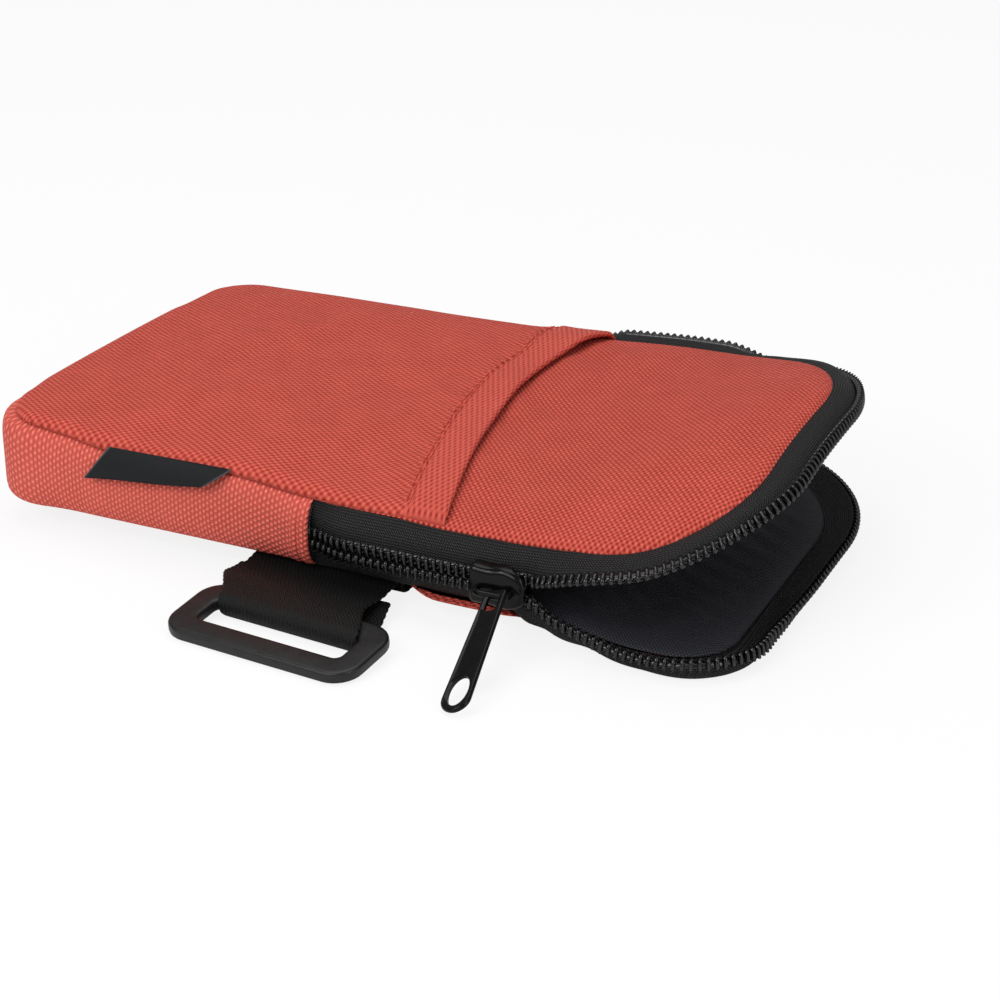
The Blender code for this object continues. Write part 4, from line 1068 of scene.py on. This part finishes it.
def slider_half(x):
    """Half height of the top plate: a waist behind its middle, two shoulders and a round nose."""
    half = 5.0 - 0.25 * smooth(x, TAIL, TAIL + 4.5) + 0.5 * smooth(x, TAIL + 4.5, TAIL + 8.4)
    past = np.clip((x - (SLIDER_TIP - NOSE_ROUND)) / NOSE_ROUND, 0, 1)
    early = np.clip(((TAIL + 1.2) - x) / 1.2, 0, 1)
    return half * (0.26 + 0.74 * np.sqrt(1 - past ** 2)) - 0.8 * (1 - np.sqrt(1 - early ** 2))


def plate_arch(half, flange, crown, inset):
    """Half of the top plate's arch: up the folded side, round its corner and on to the middle."""
    turn = turns(0, 90, 7)[None]
    radius = PLATE_CORNER - inset
    corner_z = half - PLATE_CORNER + radius * np.cos(turn)
    corner_out = np.maximum(crown - 0.35 - radius + radius * np.sin(turn), flange)
    middle = np.linspace(0.75, 0, 4)[None]
    middle_z = (half - PLATE_CORNER) * middle
    middle_out = np.broadcast_to(crown - 0.35 * middle ** 2, middle_z.shape)
    z = join(half - inset, corner_z, middle_z, axis=1)
    return z, join(flange, corner_out, middle_out, axis=1)


def make_slider():
    """Top plate as an arch whose sides fold over the coils, a flat lower plate and the wedge between."""
    nose = SLIDER_TIP - NOSE_ROUND + NOSE_ROUND * np.sin(turns(0, 88, 14))
    x = join(TAIL + np.array([0, 0.1, 0.3, 0.6, 1.0]), np.linspace(TAIL + 1.5, nose[0], 9)[:-1], nose)
    half = slider_half(x)[:, None]
    flange = mix(0.3, 2.7, smooth(x, SLIDER_TIP - 6.5, SLIDER_TIP - 2.5))[:, None]
    edge = shoulder(np.minimum(x - TAIL, SLIDER_TIP - x), 0.9)[:, None]
    crown = 3.6 + 0.55 * edge
    z, out = plate_arch(half, flange, crown, 0.0)
    in_z, in_out = plate_arch(half, flange, crown - 0.9, 0.8)
    full_z = join(z, -0.93 * z[:, -2::-1], -0.93 * in_z, in_z[:, -2::-1], axis=1)
    full_out = join(out, out[:, -2::-1], in_out, in_out[:, -2::-1], axis=1)
    parts = loft(stack(x[:, None], FACE_Y - full_out, CHAIN_Z + full_z))

    low_half = np.maximum(slider_half(x) - 1.6, 0.6)[:, None]
    angle = turns(0, 360, 24, False)[None]
    cosine, sine = np.cos(angle), np.sin(angle)
    plate_out = -1.3 + 0.4 * signed_power(sine, 0.6) * edge
    parts += loft(stack(x[:, None], FACE_Y - plate_out, CHAIN_Z + low_half * signed_power(cosine, 0.4)))

    outs = np.linspace(-1.2, 3.0, 5)[:, None]
    parts += loft(stack(SLIDER_TIP - 3.6 + 2.3 * cosine, FACE_Y - outs, CHAIN_Z + signed_power(sine, 1.2)))
    body = make_piece("slider_shell", parts, PAINT, "slider_metal", close=True, sharp=55)
    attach(body, "slider")
    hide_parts("slider_body")


def make_bridge():
    """Flat band that rises from the plate, runs along it and comes down again."""
    bend = turns(0, 90, 6)[1:]
    path_x = join([4.1, 4.1], 2.7 + 1.4 * np.cos(bend), [1.4])
    path_out = join([-0.5, 1.0], 1.0 + 1.4 * np.sin(bend), [2.45])
    path = stack(join(path_x, -path_x[::-1]), join(path_out, path_out[::-1]))
    way = unit(np.gradient(path, axis=0))
    angle = turns(0, 360, 20, False)[None]
    wide = 0.8 * signed_power(np.cos(angle), 0.5)
    thick = 0.5 * signed_power(np.sin(angle), 0.6)
    x = SLIDER_X + 0.2 + path[:, :1] - way[:, 1:] * thick
    y = FACE_Y - 4.05 - (path[:, 1:] + way[:, :1] * thick)
    parts = loft(stack(x, y, CHAIN_Z + wide))
    bridge = make_piece("bridge_band", parts, PAINT, "slider_metal", sharp=60)
    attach(bridge, "slider")
    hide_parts("slider_bridge")


PULL_AXIS = (45.6, -64.8, 13.9)
PULL_LOW, PULL_REACH = -1.8, 32.8
PULL_TIP = 3.6

# Openings of the pull: middle, half length, half width and power of each superellipse
PULL_HOLES = ((2.1, 2.35, 1.5, 4.0), (27.2, 4.1, 2.4, 2.0))


def turned_by(degrees, axis):
    return Matrix.Rotation(math.radians(degrees), 4, axis)


def pull_matrix():
    """How the pull lies: down its own length, leant and swung until its tip is near the table."""
    return Matrix.Translation(PULL_AXIS) @ turned_by(25, "X") @ turned_by(-15, "Y") @ turned_by(188, "Z")


def pull_half(y):
    """Half width of the pull: narrow and square at its eye, and a half circle at its tip."""
    half = mix(2.75, PULL_TIP, np.clip((y - PULL_LOW) / (PULL_REACH - PULL_TIP - PULL_LOW), 0, 1))
    eye = np.clip(PULL_LOW + 1.0 - y, 0, 1)
    past = np.clip((y - (PULL_REACH - PULL_TIP)) / PULL_TIP, 0, 1)
    return half * np.sqrt(1 - past ** 2) - 0.9 * (1 - np.sqrt(1 - eye ** 2))


def pull_level(x, y):
    """Half thickness: a plate with a bead along its border and round each opening."""
    from_edge = np.minimum(pull_half(y) - x, y - PULL_LOW)
    past = y - (PULL_REACH - PULL_TIP)
    from_edge = np.where(past > 0, PULL_TIP - np.hypot(x, past), from_edge)
    level = 0.40 + 0.20 * hump(from_edge, 0.45, 0.35)
    for middle, half_length, half_width, power in PULL_HOLES:
        size = np.abs(x / half_width) ** power + np.abs((y - middle) / half_length) ** power
        level = level + 0.12 * hump((size ** (1 / power) - 1) * half_width, 0.45, 0.35)
    return np.minimum(level, 0.62) * shoulder(from_edge, 0.35)


def pull_side(y, way, closed):
    """One long half, from its middle or an opening's edge round the border and back below."""
    opening = np.zeros(y.shape)
    for middle, half_length, half_width, power in PULL_HOLES:
        share = np.clip(1 - np.abs((y - middle) / half_length) ** power, 0, 1)
        opening = np.maximum(opening, half_width * share ** (1 / power))
    steps = 1 - (1 - np.linspace(0, 1, 14)) ** 1.7
    x = mix(opening[:, None], pull_half(y)[:, None], steps[None])
    level = pull_level(x, np.broadcast_to(y[:, None], x.shape))
    if closed:
        return grid_part(stack(way * x[:, :1], y[:, None], np.linspace(1, -1, 4)[None] * level[:, :1]))
    x = join(x, x[:, -2::-1], axis=1)
    return grid_part(stack(way * x, y[:, None], join(level, -level[:, -2::-1], axis=1)))


def make_pull():
    """Flat pull with a raised border, an eye round the bridge and an oval opening near its tip."""
    places = [PULL_LOW + 1.0 - np.cos(turns(0, 90, 6))]
    spans, past = [], PULL_LOW + 1.0
    for middle, half_length, _, _ in PULL_HOLES:
        spans.append(middle - half_length * np.cos(turns(0, 180, 25)))
        places.append(np.linspace(past, middle - half_length, 14)[1:-1])
        past = middle + half_length
    tip = PULL_REACH - PULL_TIP + PULL_TIP * np.sin(turns(0, 90, 13))
    y = np.unique(np.round(join(*places, *spans, tip), 5))
    parts = []
    for way in (1, -1):
        parts.append(pull_side(y, way, False))
        parts += [pull_side(span, way, True) for span in spans]
    pull = make_piece("pull_plate", parts, PAINT, "slider_metal", sharp=50)
    to_metres = Matrix.Diagonal((MM, MM, MM, 1))
    pull.data.transform(to_metres @ pull_matrix() @ to_metres.inverted())
    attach(pull, "pull")
    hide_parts("pull_tab")


# Strap, its patches and the ring

STRAP_X = -4.7
STRAP_HALF = 18.9
RING_BAR = (-74.2, 3.442)
RING_PITCH = math.asin(1.5 / 15.0)
RING_YAW = -4.8
BAR_RADIUS = 2.4
ANCHOR_Z, INNER_Z, OUTER_Z = 5.8, 4.3, 0.62


def webbing_strip(name, path, width, thickness, finish, slot, bend=None, scallop=0.12, step=0.5):
    """Webbing along a path of (y, z) points, with rounded edges that swell at every second pick."""
    path = np.asarray(path, float)
    run = run_along(path)
    fine = np.linspace(0, run[-1], max(int(run[-1] / step), 6))
    path = stack(np.interp(fine, run, path[:, 0]), np.interp(fine, run, path[:, 1]))
    way = unit(np.gradient(path, axis=0))[:, None]
    half = (width / 2 + scallop * np.sin(2 * np.pi * fine / 2.0))[:, None]
    edge = turns(-90, 90, 7)
    flat = np.broadcast_to(np.linspace(-1, 1, 17)[1:-1], (len(fine), 15))
    rounding = 1 - 0.6 / half * (1 - np.cos(edge))[None]
    offset = join(rounding, flat[:, ::-1], -rounding, flat, axis=1) * half
    level = join(np.sin(edge), np.ones(15), np.sin(-edge), -np.ones(15))[None] * thickness / 2
    along = path[:, None, 0] - way[..., 1] * level
    z = path[:, None, 1] + way[..., 0] * level
    run = fine[:, None]
    if bend:
        x, y = bend(offset, along, run)
    else:
        x, y = STRAP_X + offset, along
    uv = stack(join(offset, offset[:, :1], axis=1), run)
    return make_piece(name, loft(stack(x, y, z), uv), finish, slot, sharp=70)


def line(start, end, z):
    return [(y, z) for y in np.linspace(start, end, 13)]


def fold_path(y, high, low, way):
    """A half turn between two layers, bulging to one side."""
    half = (high - low) / 2
    return [(y + way * half * 1.1 * math.cos(a), (high + low) / 2 + half * math.sin(a))
            for a in turns(90, -90, 9)]


def strap_bend(offset, y, run):
    """Plan of the loose loop: it bears to the right towards the ring, and its return runs back askew."""
    lead = -4.6 + 5.0 * smooth(-y, 64, 79)
    middle = mix(lead, 0.7 - 0.3 * (y + 70.2), smooth(run, 22, 30))
    angle = math.radians(RING_YAW) * smooth(-57.6 - y, 0, 13.1)
    wider = 1 + np.where(offset < 0, 0.055, 0.0) * (1 - smooth(run, 6, 20))
    return middle + offset * wider * np.cos(angle), y + offset * np.sin(angle)


def make_strap():
    """Webbing sewn across the back, whose tail is folded twice, with its patches of hook and loop."""
    webbing = (2 * STRAP_HALF, 1.15, WEBBING, "webbing")
    end = [(-44, ANCHOR_Z), (-47, ANCHOR_Z), (-50, 5.45), (-53, 4.65), (-56, 4.25), (-57.3, 4.2)]
    anchor = webbing_strip("anchor_strap", line(49.4, -41, ANCHOR_Z) + end, *webbing)
    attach(anchor, "pouch")
    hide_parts("anchor_webbing")
    fold = webbing_strip("far_fold", fold_path(49.4, ANCHOR_Z, INNER_Z, 1), 2 * STRAP_HALF, 1.1,
                         WEBBING, "webbing")
    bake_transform(fold)
    inner = webbing_strip("tail_inner_strap", line(49.4, -46.4, INNER_Z), *webbing)
    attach(inner, "tail_inner")
    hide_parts("tail_webbing_inner")
    fold = webbing_strip("near_fold", fold_path(-46.4, INNER_Z, OUTER_Z, -1), *webbing)
    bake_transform(fold)
    outer = webbing_strip("tail_outer_strap", line(-46.4, 46, OUTER_Z), *webbing)
    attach(outer, "tail_outer")
    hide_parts("tail_webbing_outer")
    patches = (("loop_pile", 34, -36, 3.15, "tail_inner", "loop_patch"),
               ("hook_pile", -4, 44, 1.85, "tail_outer", "hook_patch"))
    for name, start, end, z, body, node in patches:
        patch = webbing_strip(name, line(start, end, z), 33.0, 0.9, PILE_FINISH, "hook_and_loop",
                              scallop=0.0)
        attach(patch, body)
        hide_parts(node)


def sew_rows():
    """Rows of black stitches where the webbing is sewn to the back and at the patches' ends."""
    rows = []
    count, per_stitch = 169, 12
    x = np.linspace(STRAP_X - 17.5, STRAP_X + 17.5, count)
    height = 5.1 + 0.12 - 0.3 * stitch_rise(count, per_stitch)
    for y in (43.0, 40.0, -38.0, -35.0):
        rows += loft(tube_sections(stack(x, y, height), 0.16, 5, np.array([0, 1.0, 0])))
    thread = make_piece("anchor_stitches", rows, BLACK_THREAD, "webbing")
    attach(thread, "pouch")


def on_bar(along, up):
    """Place beside the ring's rear bar, in the ring's own lean."""
    cosine, sine = math.cos(RING_PITCH), math.sin(RING_PITCH)
    return RING_BAR[0] + along * cosine - up * sine, RING_BAR[1] + up * cosine + along * sine


def slope(start, end, shares):
    """A path from one (y, z) point to another that eases out of and into the level."""
    return [(mix(start[0], end[0], t), mix(start[1], end[1], smooth(t))) for t in shares]


def make_ring_strap():
    """The loose loop: over the ring's rear bar, round it and back under itself."""
    start = (-57.8, 4.2)
    lead = [(-57.2, 4.2), start]
    lead += slope(start, on_bar(BAR_RADIUS, BAR_RADIUS), np.linspace(0, 1, 9)[1:])
    top = [on_bar(BAR_RADIUS * (1 - 2 * t), BAR_RADIUS) for t in np.linspace(0, 1, 5)[1:-1]]
    turn = [on_bar(-BAR_RADIUS - 2.1 * math.sin(a), BAR_RADIUS * math.cos(a)) for a in turns(0, 180, 13)]
    floor, landing = (RING_BAR[0] + 1.0, 0.75), (RING_BAR[0] + 3.5, 0.85)
    under = [floor, landing] + slope(landing, (-58.6, 2.7), (0.3, 0.55, 0.8, 1.0))
    strap = webbing_strip("ring_loop_strap", lead + top + turn + under, 2 * STRAP_HALF, 1.1, WEBBING,
                          "webbing", bend=strap_bend, scallop=0.10, step=0.25)
    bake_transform(strap)
    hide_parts("ring_strap")


def rounded_loop(low, high, corner):
    """A rectangle with round corners, started at its right side, as (x, y) rows."""
    points = []
    ends = (low, high)
    for start, (right, up) in ((0, (1, 1)), (90, (0, 1)), (180, (0, 0)), (270, (1, 0))):
        angle = turns(start, start + 90, 9)
        x = ends[right][0] + corner * (1 - 2 * right)
        y = ends[up][1] + corner * (1 - 2 * up)
        points.append(stack(x + corner * np.cos(angle), y + corner * np.sin(angle)))
    return join(*points)


def make_ring():
    """Flat ring: a section between its outer and inner loops, squared off to a flat band."""
    outer = rounded_loop((-25.5, -18.5), (25.5, 3.5), 6.5)
    inner = rounded_loop((-19.3, -12.1), (19.3, -3.5), 1.8)
    angle = turns(0, 360, 28, False)
    share = (signed_power(np.cos(angle), 0.32) + 1) / 2
    flat = mix(inner[:, None], outer[:, None], share[None, :, None])
    rings = stack(flat[..., 0], flat[..., 1], 1.5 * signed_power(np.sin(angle), 0.45)[None])
    ring = make_piece("strap_ring_body", [grid_part(rings, None, (True, True))], PLASTIC, "ring_plastic")
    place = Matrix.Translation((0.7 * MM, RING_BAR[0] * MM, RING_BAR[1] * MM))
    ring.data.transform(place @ turned_by(RING_YAW, "Z") @ Matrix.Rotation(RING_PITCH, 4, "X"))
    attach(ring, "ring")
    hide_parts("rect_ring")


# Side label: a bare folded ribbon caught in the near seam

def make_label():
    """Front leaf falls to the fold, back leaf returns; the fold stands off the side wall."""
    t = np.linspace(0, 2, 41)[None]
    i = np.linspace(0, 1, 36)[:, None]
    fall = 1 - np.abs(t - 1)
    leaf = np.clip((1 - t) * 9, -1, 1)
    loop = mix(0.25, 0.75, i) * np.sin(np.pi * np.clip(fall, 0, 0.93))
    x = mix(-61.3, -27.4, i) + mix(-4.8, -5.6, i) * fall
    z = mix(25.9, 26.4, i) - mix(7.2, 3.9, i) * fall + 0.15 * np.sin(7 * i) * fall
    outer = stack(x, -(HALF + (0.5 + 4.2 * fall ** 0.85 + leaf * (0.22 + loop))), z)
    thickness = 0.3
    inner = outer + unit(np.cross(np.gradient(outer, axis=0), np.gradient(outer, axis=1))) * thickness
    uv = stack(i * LABEL_LENGTH, t * 7)
    parts = two_skins(outer, inner, uv)
    for end in (0, -1):
        parts.append(grid_part(np.stack([outer[end], inner[end]]), stack(np.zeros((2, 1)), t * 7)))
    label = make_piece("side_ribbon", parts, LABEL_FINISH, "label_ribbon", close=True, sharp=60)
    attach(label, "pouch")
    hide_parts("side_label")


make_front()
make_back()
make_pocket()
make_gusset()
make_zip()
make_slider()
make_bridge()
make_pull()
make_strap()
make_ring_strap()
sew_rows()
make_ring()
make_label()


# Floor, lights and camera

def make_floor():
    """Pale floor that keeps the pouch's shadow and looks nearly white to the camera."""
    mesh = bpy.data.meshes.new("floor")
    mesh.from_pydata([(-3, -3, 0), (3, -3, 0), (3, 3, 0), (-3, 3, 0)], [], [(0, 1, 2, 3)])
    floor = add_object("floor", mesh)
    finish, tree, shader = start_finish("pale_floor", 0.9, specular=0.0)
    shader.inputs["Base Color"].default_value = (0.86, 0.86, 0.86, 1)
    glow = add_node(tree, "Emission", {"Color": (1, 1, 1, 1)})
    path = tree.nodes.new("ShaderNodeLightPath")
    share = op(tree, "MULTIPLY", path.outputs["Is Camera Ray"], 0.85)
    blend = add_node(tree, "MixShader", (share, shader.outputs[0], glow.outputs[0]))
    feed(tree, tree.nodes["Material Output"].inputs[0], blend.outputs[0])
    mesh.materials.append(finish)


def make_world():
    world = bpy.data.worlds.new("studio")
    bpy.context.scene.world = world
    world.use_nodes = True
    tree = world.node_tree
    back = tree.nodes["Background"]
    path = tree.nodes.new("ShaderNodeLightPath")
    seen = op(tree, "MAXIMUM", path.outputs["Is Camera Ray"], path.outputs["Is Transmission Ray"])
    feed(tree, back.inputs["Color"], (1, 1, 1, 1))
    feed(tree, back.inputs["Strength"], remap(tree, seen, 0, 1, 0.32, 1.0))


def make_lamp(name, place, size, power):
    """Rectangular lamp that points at the pouch's middle."""
    data = bpy.data.lights.new(name, "AREA")
    data.shape = "RECTANGLE"
    data.size, data.size_y = size
    data.energy = power
    lamp = add_object(name, data)
    lamp.location = place
    lamp.rotation_euler = (-Vector(place)).to_track_quat("-Z", "Y").to_euler()


def make_camera():
    data = bpy.data.cameras.new("camera")
    data.lens = 86.4
    data.sensor_width = 36
    camera = add_object("camera", data)
    pitch, yaw = math.radians(24.16), math.radians(25.92)
    way = Vector((-math.sin(yaw) * math.cos(pitch), math.cos(yaw) * math.cos(pitch), -math.sin(pitch)))
    camera.location = (0.252, -0.487, 0.2479)
    camera.rotation_euler = way.to_track_quat("-Z", "Y").to_euler()
    bpy.context.scene.camera = camera


make_floor()
make_world()
make_lamp("front_softbox", (-0.25, -0.95, 0.75), (0.9, 0.6), 8.0)
make_lamp("top_softbox", (-0.1, 0.15, 1.1), (0.9, 0.9), 5.8)
make_lamp("right_strip", (0.9, -0.35, 0.5), (0.25, 0.9), 2.9)
make_lamp("small_lamp", (-0.35, -0.6, 0.6), (0.08, 0.08), 0.45)
make_camera()
bpy.context.scene.view_settings.view_transform = "Standard"
